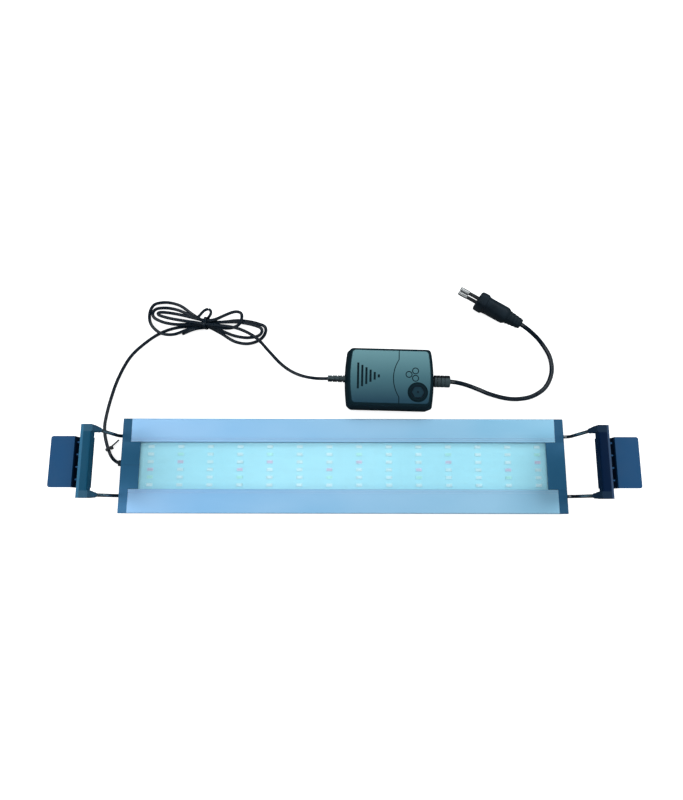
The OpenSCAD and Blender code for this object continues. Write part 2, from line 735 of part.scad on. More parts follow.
module supply_board() {
    l = 2 * boss_x + 2;
    color("darkgreen") at_supply() difference() {
        translate([-l / 2, -supply_w / 2 + 4, pcb_z]) cube([l, supply_w - 8, pcb_t]);
        for (s = [-1, 1]) translate([s * boss_x, s * boss_y, pcb_z - 1]) cylinder(d = 8, h = 4);
    }
}

module on_board() { at_supply() translate([0, 0, pcb_z + pcb_t]) children(); }

module transformer() {
    color("khaki") on_board() {
        translate([-9, -11, 0]) cube([20, 22, 2.5]);
        translate([-6, -9, 2.5]) cube([14, 18, 11]);
        translate([-9, -4, 2.5]) cube([20, 8, 13]);
    }
}

module mains_capacitor() { color("dimgray") on_board() translate([20, 8.5, 0]) cylinder(d = 13, h = 16); }
module output_capacitor() { color("navy") on_board() translate([-19, 8, 0]) cylinder(d = 8, h = 13); }
module bridge_rectifier() { color("black") on_board() translate([13.5, -9, 0]) cube([3.2, 6.5, 5]); }

module switch_board() {
    color("darkgreen") at_supply() translate([button_x - 11.5, button_y - 8, switch_z]) cube([17, 15, pcb_t]);
}

module tact_switch() {
    color("black") at_supply() translate([button_x, button_y, switch_z + pcb_t]) {
        translate([-3, -3, 0]) cube([6, 6, 3.4]);
        translate([0, 0, 3]) cylinder(d = 3.4, h = 1.4);
    }
}

module mode_button() {
    top = supply_h + bezel_h + 0.6;
    flange_top = supply_h - case_wall - 0.05;
    stem_z = switch_z + pcb_t + 4.4 + button_travel + 0.1;
    color("black") at_supply() translate([button_x, button_y, 0]) difference() {
        union() {
            translate([0, 0, flange_top - 1.1]) cylinder(d = button_d, h = top - flange_top + 1.1);
            translate([0, 0, flange_top - 1.1]) cylinder(d = 14.6, h = 1.1);
            translate([0, 0, stem_z]) cylinder(d = 4, h = flange_top - stem_z);
        }
        translate([0, 0, top - 0.5]) difference() {
            cylinder(d = 11.2, h = 1, $fn = 6);
            cylinder(d1 = 9, d2 = 1.5, h = 0.45, $fn = 6);
        }
    }
}

module dc_strain_relief() {
    color("black") at_supply() translate([-supply_l / 2, 0, split_z]) rotate([0, -90, 0]) difference() {
        union() {
            translate([0, 0, -neck_l - 0.1]) cylinder(d = dc_neck_d, h = neck_l + 0.6);
            translate([0, 0, -neck_l - flange_t]) cylinder(d = dc_neck_d + flange_extra, h = flange_t);
            cylinder(d = 4.8, h = 15.4);
            for (i = [0 : 6]) translate([0, 0, 0.2 + 2.3 * i]) cylinder(d = 6.5 - 0.1 * i, h = 1.4);
            for (i = [0 : 5]) translate([0, 0, 1.5 + 2.3 * i]) rotate([0, 0, 90 * (i % 2)])
                translate([-2.8, -0.9, 0]) cube([5.6, 1.8, 1.1]);
        }
        translate([0, 0, -8]) cylinder(r = dc_bore_r, h = 26);
    }
}

module ac_strain_relief() {
    color("black") at_supply() translate([supply_l / 2, 0, split_z]) rotate([0, 90, 0]) difference() {
        union() {
            translate([0, 0, -neck_l - 0.1]) cylinder(d = ac_neck_d, h = neck_l + 0.6);
            translate([0, 0, -neck_l - flange_t]) cylinder(d = ac_neck_d + flange_extra, h = flange_t);
            cylinder(d = 9, h = 14.8);
            for (ring = [[0.3, 2.3], [3.2, 2.6], [6.4, 3], [10, 4.6]]) translate([0, 0, ring[0]])
                cylinder(d = 11, h = ring[1]);
            for (i = [0 : 2]) translate([0, 0, 2.5 + 3.3 * i]) rotate([0, 0, 90 * (i % 2)])
                translate([-5, -1.2, 0]) cube([10, 2.4, 0.9]);
        }
        translate([0, 0, -8]) cylinder(r = ac_bore_r, h = 26);
    }
}

// Two wires from a cable's end down to the board
module inner_wires(x0, x1, d) {
    for (s = [-1, 1]) {
        points = [[x0, 0.75 * s, split_z], [x0 + (x1 - x0) * 0.4, 1.6 * s, split_z - 1],
            [x1, 2.6 * s, pcb_z + pcb_t + 3], [x1, 2.6 * s, pcb_z + pcb_t + 0.1]];
        sweep_wire(spline(points, 2), d);
    }
}

// Round wire whose run may turn straight down: swept in the XZ plane
module sweep_wire(points, d) {
    for (i = [0 : len(points) - 2]) let (a = points[i], b = points[i + 1], v = b - a)
        translate(a) rotate([0, acos(v.z / norm(v)), atan2(v.y, v.x)]) {
            cylinder(d = d, h = norm(v), $fn = 8);
            sphere(d = d, $fn = 8);
        }
}

module dc_inner_wires() { color("red") at_supply() inner_wires(-supply_l / 2 + 7, -supply_l / 2 + 14, 1.1); }
module ac_inner_wires() {
    color("saddlebrown") at_supply() inner_wires(supply_l / 2 - 8, supply_l / 2 - 13, 1.2);
}

// ---------- mains cable and plug ----------

module at_plug() { translate(plug_face) rotate([0, 0, plug_turn]) rotate([plug_lean, 0, 0]) children(); }

module mains_cable() {
    lay = ac_t / 2 + 0.05;
    start_a = supply_point([supply_l / 2 - 5, 0, split_z]);
    start_b = supply_point([supply_l / 2 + 15, 0, split_z]);
    back = [cos(plug_turn), sin(plug_turn), 0];
    end_a = plug_face - back * (plug_l + 1);
    end_b = plug_face - back * (plug_l - 8);
    points = concat([start_a, start_b],
        [[112, 76, 9], [126, 72.5, 3.4], [138, 68, lay], [153, 64, lay], [166, 63.5, lay], [179, 66.5, lay],
         [191, 75, lay], [197.5, 89, lay], [196.5, 104, lay + 0.5], [188, 117, 5.5], [177, 125, 12.5]],
        [end_a, end_b]);
    color("black") sweep_oval(spline(points, 5), ac_w, ac_t);
}

// Points round a rounded square, a by b from its centre
function squircle(a, b, sides) = [for (k = [0 : sides - 1])
    let (t = 360 * (k + 0.5) / sides, r = pow(pow(abs(cos(t)), 3) + pow(abs(sin(t)), 3), -1 / 3))
    [a * r * cos(t), b * r * sin(t)]];

module plug_body() {
    color("black") at_plug() difference() {
        skin([for (section = plug_sections)
            [for (p = squircle(section[2], section[1], 24)) [section[0], -p.x, p.y]]]);
        for (s = [-1, 1]) translate([-12, 0, s * pin_gap / 2]) rotate([0, 90, 0])
            cylinder(d = pin_d - 0.6 + 2 * slip, h = 13);
        translate([-plug_l - 1, 0, 0]) rotate([0, 90, 0]) cylinder(r = ac_bore_r, h = 10.5);
    }
}

module plug_pins() {
    core_d = pin_d - 1.2;
    color("silver") at_plug() for (s = [-1, 1]) translate([0, 0, s * pin_gap / 2]) rotate([0, 90, 0]) {
        translate([0, 0, -11.5]) cylinder(d = core_d, h = 11.5 + pin_l - bare_l + 0.5);
        translate([0, 0, pin_l - bare_l]) cylinder(d = pin_d, h = bare_l - 1);
        translate([0, 0, pin_l - 1]) cylinder(d1 = pin_d, d2 = pin_d - 1.2, h = 1);
    }
}

module plug_pin_sleeves() {
    color("black") at_plug() for (s = [-1, 1]) translate([0, 0, s * pin_gap / 2]) rotate([0, 90, 0])
        difference() {
            translate([0, 0, -11]) cylinder(d = pin_d - 0.6, h = 11 + pin_l - bare_l);
            translate([0, 0, -13]) cylinder(d = pin_d - 1.2 + 2 * slip, h = pin_l - bare_l + 16);
        }
}

lamp_body();
thermal_pad();
led_board();
board_screws();
white_leds();
red_leds();
green_leds();
board_resistors();
positive_lead();
negative_lead();
solder_joints();
clear_cover();
left_end_cap();
right_end_cap();
end_cap_screws();
cable_grommet();
left_front_rod();
left_rear_rod();
left_rod_stops();
left_crossbar();
left_foot();
left_foot_screws();
right_front_rod();
right_rear_rod();
right_rod_stops();
right_crossbar();
right_foot();
right_foot_screws();
dc_cable();
cable_tie();
twist_tie();
supply_base();
supply_lid();
supply_screws();
supply_board();
transformer();
mains_capacitor();
output_capacitor();
bridge_rectifier();
switch_board();
tact_switch();
mode_button();
dc_strain_relief();
ac_strain_relief();
dc_inner_wires();
ac_inner_wires();
mains_cable();
plug_body();
plug_pins();
plug_pin_sleeves();
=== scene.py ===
import json
from math import copysign, cos, exp, pi, radians, sin, sqrt

import bmesh
import bpy
from mathutils import Matrix, Vector


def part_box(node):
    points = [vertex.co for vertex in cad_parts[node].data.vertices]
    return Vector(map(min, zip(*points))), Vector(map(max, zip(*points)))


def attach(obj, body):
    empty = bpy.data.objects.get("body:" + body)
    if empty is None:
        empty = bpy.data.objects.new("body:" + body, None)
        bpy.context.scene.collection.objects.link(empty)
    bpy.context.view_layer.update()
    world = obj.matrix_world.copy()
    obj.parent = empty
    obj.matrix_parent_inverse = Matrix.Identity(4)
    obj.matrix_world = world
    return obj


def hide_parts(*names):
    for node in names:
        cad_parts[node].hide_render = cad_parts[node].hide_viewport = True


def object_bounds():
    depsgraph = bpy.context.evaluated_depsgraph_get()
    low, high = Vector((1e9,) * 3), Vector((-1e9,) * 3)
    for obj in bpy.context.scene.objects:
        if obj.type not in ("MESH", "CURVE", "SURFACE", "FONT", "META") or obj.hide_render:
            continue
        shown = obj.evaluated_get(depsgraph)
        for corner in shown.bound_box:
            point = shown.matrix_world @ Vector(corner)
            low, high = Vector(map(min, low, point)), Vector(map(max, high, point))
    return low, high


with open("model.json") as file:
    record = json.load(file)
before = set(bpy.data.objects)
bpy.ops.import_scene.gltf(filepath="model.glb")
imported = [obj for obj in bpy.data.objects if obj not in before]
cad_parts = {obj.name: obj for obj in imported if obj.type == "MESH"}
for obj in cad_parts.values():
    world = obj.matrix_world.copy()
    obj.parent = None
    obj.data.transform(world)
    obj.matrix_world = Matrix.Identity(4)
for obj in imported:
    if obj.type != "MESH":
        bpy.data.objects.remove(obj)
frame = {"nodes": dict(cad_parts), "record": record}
cad_low, cad_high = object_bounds()

# Shapes are worked out in millimetres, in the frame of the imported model, and scaled on the way into a mesh.
MM = 0.001


def box_mm(node):
    low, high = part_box(node)
    return low / MM, high / MM


def mount(name):
    return next(m for m in frame["record"]["mounts"] if m["name"] == name)


# ---------- mesh helpers ----------


def loft(rings):
    """Closed skin over rings with the same number of points, with a flat cap on both ends."""
    n = len(rings[0])
    points = [p for ring in rings for p in ring]
    faces = [
        (i * n + k, i * n + (k + 1) % n, (i + 1) * n + (k + 1) % n, (i + 1) * n + k)
        for i in range(len(rings) - 1)
        for k in range(n)
    ]
    last = (len(rings) - 1) * n
    faces.append(tuple(reversed(range(n))))
    faces.append(tuple(range(last, last + n)))
    return points, faces


def joined(parts):
    points, faces = [], []
    for part_points, part_faces in parts:
        start = len(points)
        points += part_points
        faces += [tuple(start + k for k in face) for face in part_faces]
    return points, faces


def circle(radius, sides):
    return [(radius * cos(2 * pi * k / sides), radius * sin(2 * pi * k / sides)) for k in range(sides)]


def moved(part, matrix):
    return [matrix @ Vector(p) for p in part[0]], part[1]


def mesh_object(name, part):
    points, faces = part
    mesh = bpy.data.meshes.new(name)
    mesh.from_pydata([Vector(p) * MM for p in points], [], faces)
    work = bmesh.new()
    work.from_mesh(mesh)
    bmesh.ops.recalc_face_normals(work, faces=work.faces)
    work.to_mesh(mesh)
    work.free()
    mesh.shade_smooth()
    piece = bpy.data.objects.new(name, mesh)
    bpy.context.scene.collection.objects.link(piece)
    return piece


def boolean(piece, part, operation):
    """Cuts a part out of a piece, or adds it, and keeps the result as the piece's mesh."""
    tool = mesh_object("tool", part)
    modifier = piece.modifiers.new("boolean", "BOOLEAN")
    modifier.operation = operation
    modifier.solver = "EXACT"
    modifier.object = tool
    result = evaluated_mesh(piece)
    piece.modifiers.clear()
    piece.data = result
    bpy.data.objects.remove(tool)


def evaluated_mesh(piece):
    graph = bpy.context.evaluated_depsgraph_get()
    return bpy.data.meshes.new_from_object(piece.evaluated_get(graph))


def shift_mesh(piece, matrix):
    """Moves a piece's own mesh by a matrix given in millimetres."""
    to_metres = Matrix.Scale(MM, 4)
    piece.data.transform(to_metres @ matrix @ to_metres.inverted())


def weld_points(piece, threshold):
    weld = piece.modifiers.new("weld", "WELD")
    weld.merge_threshold = threshold * MM


def flat_normals(piece):
    normals = piece.modifiers.new("normals", "WEIGHTED_NORMAL")
    normals.keep_sharp = True


def soft_edges(piece, width, segments=2, angle=32):
    """Small moulded radius on every sharp edge, with flat faces kept flat."""
    bevel = piece.modifiers.new("edges", "BEVEL")
    bevel.width = width * MM
    bevel.segments = segments
    bevel.limit_method = "ANGLE"
    bevel.angle_limit = radians(angle)
    bevel.harden_normals = True
    weld_points(piece, 0.002)
    flat_normals(piece)


def dress(piece, body, finish, nodes):
    """Gives a piece its finish and its body, in place of the CAD nodes that it shows."""
    piece.data.materials.clear()
    piece.data.materials.append(finishes[finish])
    piece.data.shade_smooth()
    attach(piece, body)
    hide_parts(*nodes)


def squircle_r(a, power):
    """Radius at angle a of a unit superellipse: power 2 is a circle, larger powers are squarer."""
    return (abs(cos(a)) ** power + abs(sin(a)) ** power) ** (-1 / power)


def superellipse(half_a, half_b, power, sides):
    points = []
    for k in range(sides):
        a = 2 * pi * k / sides
        r = squircle_r(a, power)
        points.append((half_a * r * cos(a), half_b * r * sin(a)))
    return points


# ---------- curves ----------


def spline_point(a, b, c, d, t):
    return 0.5 * (2 * b + (c - a) * t + (2 * a - 5 * b + 4 * c - d) * t**2 + (3 * b - a - 3 * c + d) * t**3)


def spline(points, steps):
    """Smooth line through the points, as the cables of the CAD model run."""
    points = [Vector(p) for p in points]
    last = len(points) - 1
    line = []
    for i in range(last):
        a, b, c, d = points[max(i - 1, 0)], points[i], points[i + 1], points[min(i + 2, last)]
        line += [spline_point(a, b, c, d, s / steps) for s in range(steps)]
    return line + [points[last]]


def sweep(line, section):
    """Sweeps a section of (side, up) points along a line, its side direction kept level."""
    rings = []
    for i, centre in enumerate(line):
        along = (line[min(i + 1, len(line) - 1)] - line[max(i - 1, 0)]).normalized()
        side = Vector((0, 0, 1)).cross(along).normalized()
        up = along.cross(side)
        rings.append([centre + side * a + up * b for a, b in section])
    return loft(rings)


# ---------- materials ----------


class Shader:
    """A node material whose textures are laid out in millimetres of the object's own frame."""

    def __init__(self, name):
        self.material = bpy.data.materials.new(name)
        self.material.use_nodes = True
        self.tree = self.material.node_tree
        self.tree.nodes.clear()
        place = self.node("TexCoord").outputs["Object"]
        scaled = self.node("VectorMath", operation="SCALE")
        self.feed(scaled.inputs[0], place)
        self.feed(scaled.inputs["Scale"], 1 / MM)
        self.place = scaled.outputs[0]

    def node(self, kind, **settings):
        node = self.tree.nodes.new("ShaderNode" + kind)
        for key, value in settings.items():
            setattr(node, key, value)
        return node

    def feed(self, socket, value):
        """Links a socket to another node's output, or gives it a plain value."""
        if isinstance(value, bpy.types.NodeSocket):
            self.tree.links.new(value, socket)
        else:
            socket.default_value = value

    def math(self, operation, a, b=0.0):
        node = self.node("Math", operation=operation)
        self.feed(node.inputs[0], a)
        self.feed(node.inputs[1], b)
        return node.outputs[0]

    def remap(self, value, from_low, from_high, to_low=0.0, to_high=1.0):
        node = self.node("MapRange")
        for socket, number in zip(node.inputs[:5], (value, from_low, from_high, to_low, to_high)):
            self.feed(socket, number)
        return node.outputs[0]

    def mix(self, factor, a, b):
        node = self.node("Mix", data_type="RGBA")
        self.feed(node.inputs["Factor"], factor)
        colour_sockets = [k for k in node.inputs if k.type == "RGBA"]
        self.feed(colour_sockets[0], a)
        self.feed(colour_sockets[1], b)
        return next(k for k in node.outputs if k.type == "RGBA")

    def noise(self, size, stretch=(1, 1, 1), detail=3.0):
        """Noise with features of about this size; stretch lengthens them along an axis."""
        squeeze = self.node("VectorMath", operation="DIVIDE")
        self.feed(squeeze.inputs[0], self.place)
        self.feed(squeeze.inputs[1], tuple(size * s for s in stretch))
        node = self.node("TexNoise")
        self.feed(node.inputs["Vector"], squeeze.outputs[0])
        self.feed(node.inputs["Scale"], 1.0)
        self.feed(node.inputs["Detail"], detail)
        return node.outputs[0]

    def along(self, axis):
        node = self.node("SeparateXYZ")
        self.feed(node.inputs[0], self.place)
        return node.outputs[axis]

    def facing(self, axis):
        """Part of the surface's normal that points along an axis."""
        node = self.node("SeparateXYZ")
        self.feed(node.inputs[0], self.node("NewGeometry").outputs["Normal"])
        return node.outputs[axis]

    def edge(self, radius=0.35):
        """1 on sharp edges and 0 on flat faces."""
        rounded = self.node("Bevel", samples=4)
        rounded.inputs["Radius"].default_value = radius * MM
        plain = self.node("NewGeometry").outputs["Normal"]
        dot = self.node("VectorMath", operation="DOT_PRODUCT")
        self.feed(dot.inputs[0], rounded.outputs[0])
        self.feed(dot.inputs[1], plain)
        return self.remap(dot.outputs["Value"], 0.99, 0.8)

    def bump(self, height, depth, strength=1.0):
        node = self.node("Bump")
        self.feed(node.inputs["Height"], height)
        self.feed(node.inputs["Distance"], depth * MM)
        self.feed(node.inputs["Strength"], strength)
        return node.outputs[0]

    def principled(self, **inputs):
        node = self.node("BsdfPrincipled")
        for key, value in inputs.items():
            self.feed(node.inputs[key.replace("_", " ")], value)
        return node.outputs[0]

    def finish(self, shader):
        output = self.node("OutputMaterial")
        self.feed(output.inputs["Surface"], shader)
        return self.material


def rgb(red, green, blue):
    return (red, green, blue, 1.0)


def surface(name, colour, roughness, metallic=0.0, ior=1.25, mottle=0.1, mottle_size=9.0,
            grain=0.5, grain_depth=0.012, wear=0.3, wear_colour=None, colour_field=None):
    """Solid material with colour mottling, a grain that shows as bump and gloss, and lighter worn edges.

    colour_field, and ior if it is a function, give a value that follows the place on the part.
    """
    s = Shader(name)
    broad = s.noise(mottle_size)
    fine = s.noise(grain, detail=4.0)
    edge = s.edge()
    base = colour_field(s) if colour_field else colour
    darker = rgb(*[c * (1 - mottle) for c in colour[:3]])
    lighter = rgb(*[min(1.0, c * (1 + mottle)) for c in colour[:3]])
    mottled = s.mix(s.remap(broad, 0.3, 0.7), darker, lighter)
    if colour_field:
        mottled = s.mix(0.12, base, mottled)
    worn = wear_colour or rgb(*[min(1.0, c * 1.6 + 0.02) for c in colour[:3]])
    scuffs = s.remap(s.noise(2.5, detail=5.0), 0.35, 0.65, 0.4, 1.0)
    wear_mask = s.math("MULTIPLY", s.math("MULTIPLY", edge, scuffs), wear)
    final = s.mix(wear_mask, mottled, worn)
    gloss = s.math("ADD", s.remap(broad, 0.25, 0.75, -0.05, 0.05), s.remap(fine, 0.25, 0.75, -0.06, 0.06))
    rough = s.math("ADD", gloss, roughness)
    shader = s.principled(
        Base_Color=final,
        Metallic=metallic,
        Roughness=rough,
        IOR=ior(s) if callable(ior) else ior,
        Normal=s.bump(fine, grain_depth),
    )
    return s.finish(shader)


def aluminium():
    """Satin anodised extrusion: fine lines along its length, painted light that shifts its colour from bluer
    at the left end to cyan at the right, and a painted highlight on its edges.
    """
    s = Shader("satin_aluminium")
    lines = s.noise(0.25, (160, 1, 1), detail=4.0)
    cloud = s.noise(45, (2, 1, 1), detail=2.0)
    along = s.remap(s.along(0), -lamp_half, lamp_half)
    # Painted light: bluer at the left end, more cyan at the right.
    painted_light_tint = s.mix(along, rgb(0.225, 0.46, 0.74), rgb(0.205, 0.46, 0.64))
    cloudy = s.mix(s.remap(cloud, 0.3, 0.7, 0.0, 0.12), painted_light_tint, rgb(0.8, 0.9, 1.0))
    # Painted highlight: the edges are mixed halfway to pale blue-white.
    edge = s.math("MULTIPLY", s.edge(0.3), 0.5)
    with_painted_edge_highlight = s.mix(edge, cloudy, rgb(0.75, 0.85, 0.95))
    rough = s.math("ADD", s.remap(lines, 0.25, 0.75, -0.05, 0.07), 0.46)
    shader = s.principled(
        Base_Color=with_painted_edge_highlight,
        Metallic=0.35,
        Roughness=rough,
        Anisotropic=0.3,
        Normal=s.bump(lines, 0.004),
    )
    return s.finish(shader)


def board_lacquer():
    """White lacquered board: faint copper strips along the rows, with gaps between the columns."""
    s = Shader("white_board")
    x_in_cell = s.math("PINGPONG", s.math("ADD", s.along(0), -grid_x0), led_pitch_x / 2)
    y_in_cell = s.math("PINGPONG", s.math("ADD", s.along(1), -grid_y0), led_pitch_y / 2)
    strip = s.remap(y_in_cell, 1.9, 2.2, 1.0, 0.0)
    split = s.remap(x_in_cell, led_pitch_x / 2 - 1.0, led_pitch_x / 2 - 0.7, 1.0, 0.0)
    copper = s.math("MULTIPLY", strip, split)
    speckle = s.noise(0.6, detail=4.0)
    base = s.mix(s.math("MULTIPLY", copper, 0.10), rgb(0.60, 0.93, 0.99), rgb(0.52, 0.86, 0.96))
    dusty = s.mix(s.remap(speckle, 0.3, 0.7, 0.0, 0.06), base, rgb(0.45, 0.72, 0.85))
    shader = s.principled(
        Base_Color=dusty,
        Roughness=s.remap(speckle, 0.2, 0.8, 0.35, 0.5),
        Normal=s.bump(copper, 0.04, 0.5),
    )
    return s.finish(shader)


def acrylic():
    """Thin clear sheet: mostly see-through, a soft reflection, faint haze from handling."""
    s = Shader("clear_acrylic")
    clear = s.node("BsdfTransparent")
    s.feed(clear.inputs["Color"], rgb(0.93, 0.985, 1.0))
    gloss = s.node("BsdfGlossy")
    s.feed(gloss.inputs["Roughness"], s.remap(s.noise(6, detail=4.0), 0.3, 0.7, 0.08, 0.18))
    haze = s.node("BsdfDiffuse")
    s.feed(haze.inputs["Color"], rgb(0.55, 0.88, 1.0))
    facing = s.node("LayerWeight")
    s.feed(facing.inputs["Blend"], 0.25)
    smudges = s.remap(s.noise(30, (2, 1, 1), detail=3.0), 0.35, 0.7, 0.05, 0.11)
    hazy = s.node("MixShader")
    s.feed(hazy.inputs[0], smudges)
    s.feed(hazy.inputs[1], clear.outputs[0])
    s.feed(hazy.inputs[2], haze.outputs[0])
    both = s.node("MixShader")
    s.feed(both.inputs[0], s.math("MULTIPLY", facing.outputs["Fresnel"], 0.5))
    s.feed(both.inputs[1], hazy.outputs[0])
    s.feed(both.inputs[2], gloss.outputs[0])
    return s.finish(both.outputs[0])


def bar_painted_highlights(body, strip, ends, edge_x):
    """Crossbar whose outer lip and sockets get painted highlights, lighter than its body."""

    def field(s):
        # strip colours the outer lip and ends the sockets: both are painted highlights.
        lip = s.remap(s.math("ABSOLUTE", s.along(0)), edge_x - 0.4, edge_x + 0.4)
        end = s.remap(s.math("ABSOLUTE", s.along(1)), 23.2, 24.2)
        return s.mix(lip, s.mix(end, body, ends), strip)

    return field


def foot_painted_slot_shade(s):
    """The foot darkens towards the bottom of its rim slot: painted shade."""
    return s.mix(s.remap(s.along(2), 56.5, 59.2), rgb(0.002, 0.014, 0.036), rgb(0.005, 0.061, 0.162))


def case_top(s):
    """1 on the flat top of the power supply, 0 on its walls, in its grooves and round the button, where the
    painted shade goes.
    """
    level = s.remap(s.facing(2), 0.93, 0.995)
    high = s.remap(s.along(2), supply_h - 0.26, supply_h - 0.1)
    distance = s.node("VectorMath", operation="DISTANCE")
    s.feed(distance.inputs[0], s.place)
    s.feed(distance.inputs[1], tuple(button_centre))
    away = s.remap(distance.outputs["Value"], bezel_mask_r - 0.2, bezel_mask_r + 0.2)
    return s.math("MULTIPLY", s.math("MULTIPLY", level, high), away)


def case_painted_light(s):
    """Teal grey top with a painted reflection that pales it towards its far side; the rest is almost black,
    painted shade, a little less dark on the near wall.
    """
    y = s.along(1)
    near_y, far_y = supply_middle_y - 22, supply_middle_y + 24
    # Painted reflection: the top pales from its near side to its far side.
    lower = s.mix(s.remap(y, near_y, supply_middle_y), rgb(0.008, 0.040, 0.070), rgb(0.058, 0.150, 0.18))
    top = s.mix(s.remap(y, supply_middle_y, far_y), lower, rgb(0.148, 0.30, 0.33))
    # Painted shade on the walls, a little less dark on the near wall.
    walls = s.mix(s.remap(s.facing(1), -0.5, -0.9), rgb(0.001, 0.004, 0.008), rgb(0.006, 0.012, 0.018))
    return s.mix(case_top(s), walls, top)


def case_ior(s):
    return s.remap(case_top(s), 0.0, 1.0, 1.05, 1.22)


def relief_painted_ring_highlights(ring_r):
    """Strain relief with painted highlights on its rings and painted shade in the gaps between, told apart by
    the distance from its axis.
    """

    def field(s):
        dy = s.math("ADD", s.along(1), -supply_middle_y)
        dz = s.math("ADD", s.along(2), -split_z)
        square = s.math("ADD", s.math("MULTIPLY", dy, dy), s.math("MULTIPLY", dz, dz))
        ring = s.remap(s.math("SQRT", square), ring_r - 0.5, ring_r - 0.2)
        # Painted shade in the gaps, painted highlight on the rings.
        return s.mix(ring, rgb(0.002, 0.004, 0.006), rgb(0.040, 0.062, 0.070))

    return field


def button_tint(s):
    """Dark rim, paler facets in the hexagonal recess."""
    rim = s.remap(s.along(2), button_centre.z - 0.12, button_centre.z - 0.04)
    return s.mix(rim, rgb(0.009, 0.032, 0.048), rgb(0.001, 0.005, 0.010))


def cap_painted_reflection(s):
    """The left cap gets a painted reflection towards its near corner, and the tops of the tabs a painted
    highlight.
    """
    # Painted reflection on the left cap's near corner.
    lit = s.math("MULTIPLY", s.remap(s.along(0), -lamp_half + 30, -lamp_half), s.remap(s.along(1), 5, -38))
    near = s.mix(lit, rgb(0.014, 0.088, 0.180), rgb(0.050, 0.185, 0.36))
    # Painted highlight on the top of the tabs.
    tab = s.math("MULTIPLY", s.remap(s.along(2), lamp_high.z - 0.3, lamp_high.z),
                 s.remap(s.math("ABSOLUTE", s.along(1)), 21.5, 20.5))
    return s.mix(s.math("MULTIPLY", tab, 0.35), near, rgb(0.035, 0.16, 0.30))


def banded(name, colour, stripe, pitch, axis, roughness):
    """Wound or printed part: stripes of a second colour at a fixed pitch along one axis."""

    def stripes(s):
        ramp = s.math("PINGPONG", s.along(axis), pitch / 2)
        return s.mix(s.remap(ramp, pitch * 0.2, pitch * 0.3), colour, stripe)

    return surface(name, colour, roughness, colour_field=stripes, wear=0.1)


# ---------- sizes from the frame ----------

lamp_high = box_mm("lamp_body")[1]
lamp_half = lamp_high.x
led_low, led_high = box_mm("white_leds")
led_l = 5.7
led_w = 3.0
led_cols = 14
led_rows = 6
led_pitch_x = (led_high.x - led_low.x - led_l) / (led_cols - 1)
led_pitch_y = (led_high.y - led_low.y - led_w) / (led_rows - 1)
grid_x0 = led_low.x + led_l / 2
grid_y0 = led_low.y + led_w / 2
led_z = led_low.z
led_t = led_high.z - led_low.z
supply_low, supply_high = box_mm("supply_base")
lid_low, lid_high = box_mm("supply_lid")
supply_middle_y = (supply_low.y + supply_high.y) / 2
split_z = lid_low.z
supply_h = lid_high.z - 0.9
button_low, button_high = box_mm("mode_button")
button_centre = (button_low + button_high) / 2
button_centre.z = button_high.z
bezel_mask_r = 9.2
rod_r = 1.5
uprights = {-1: -box_mm("left_front_rod")[0].x - rod_r, 1: box_mm("right_front_rod")[1].x - rod_r}

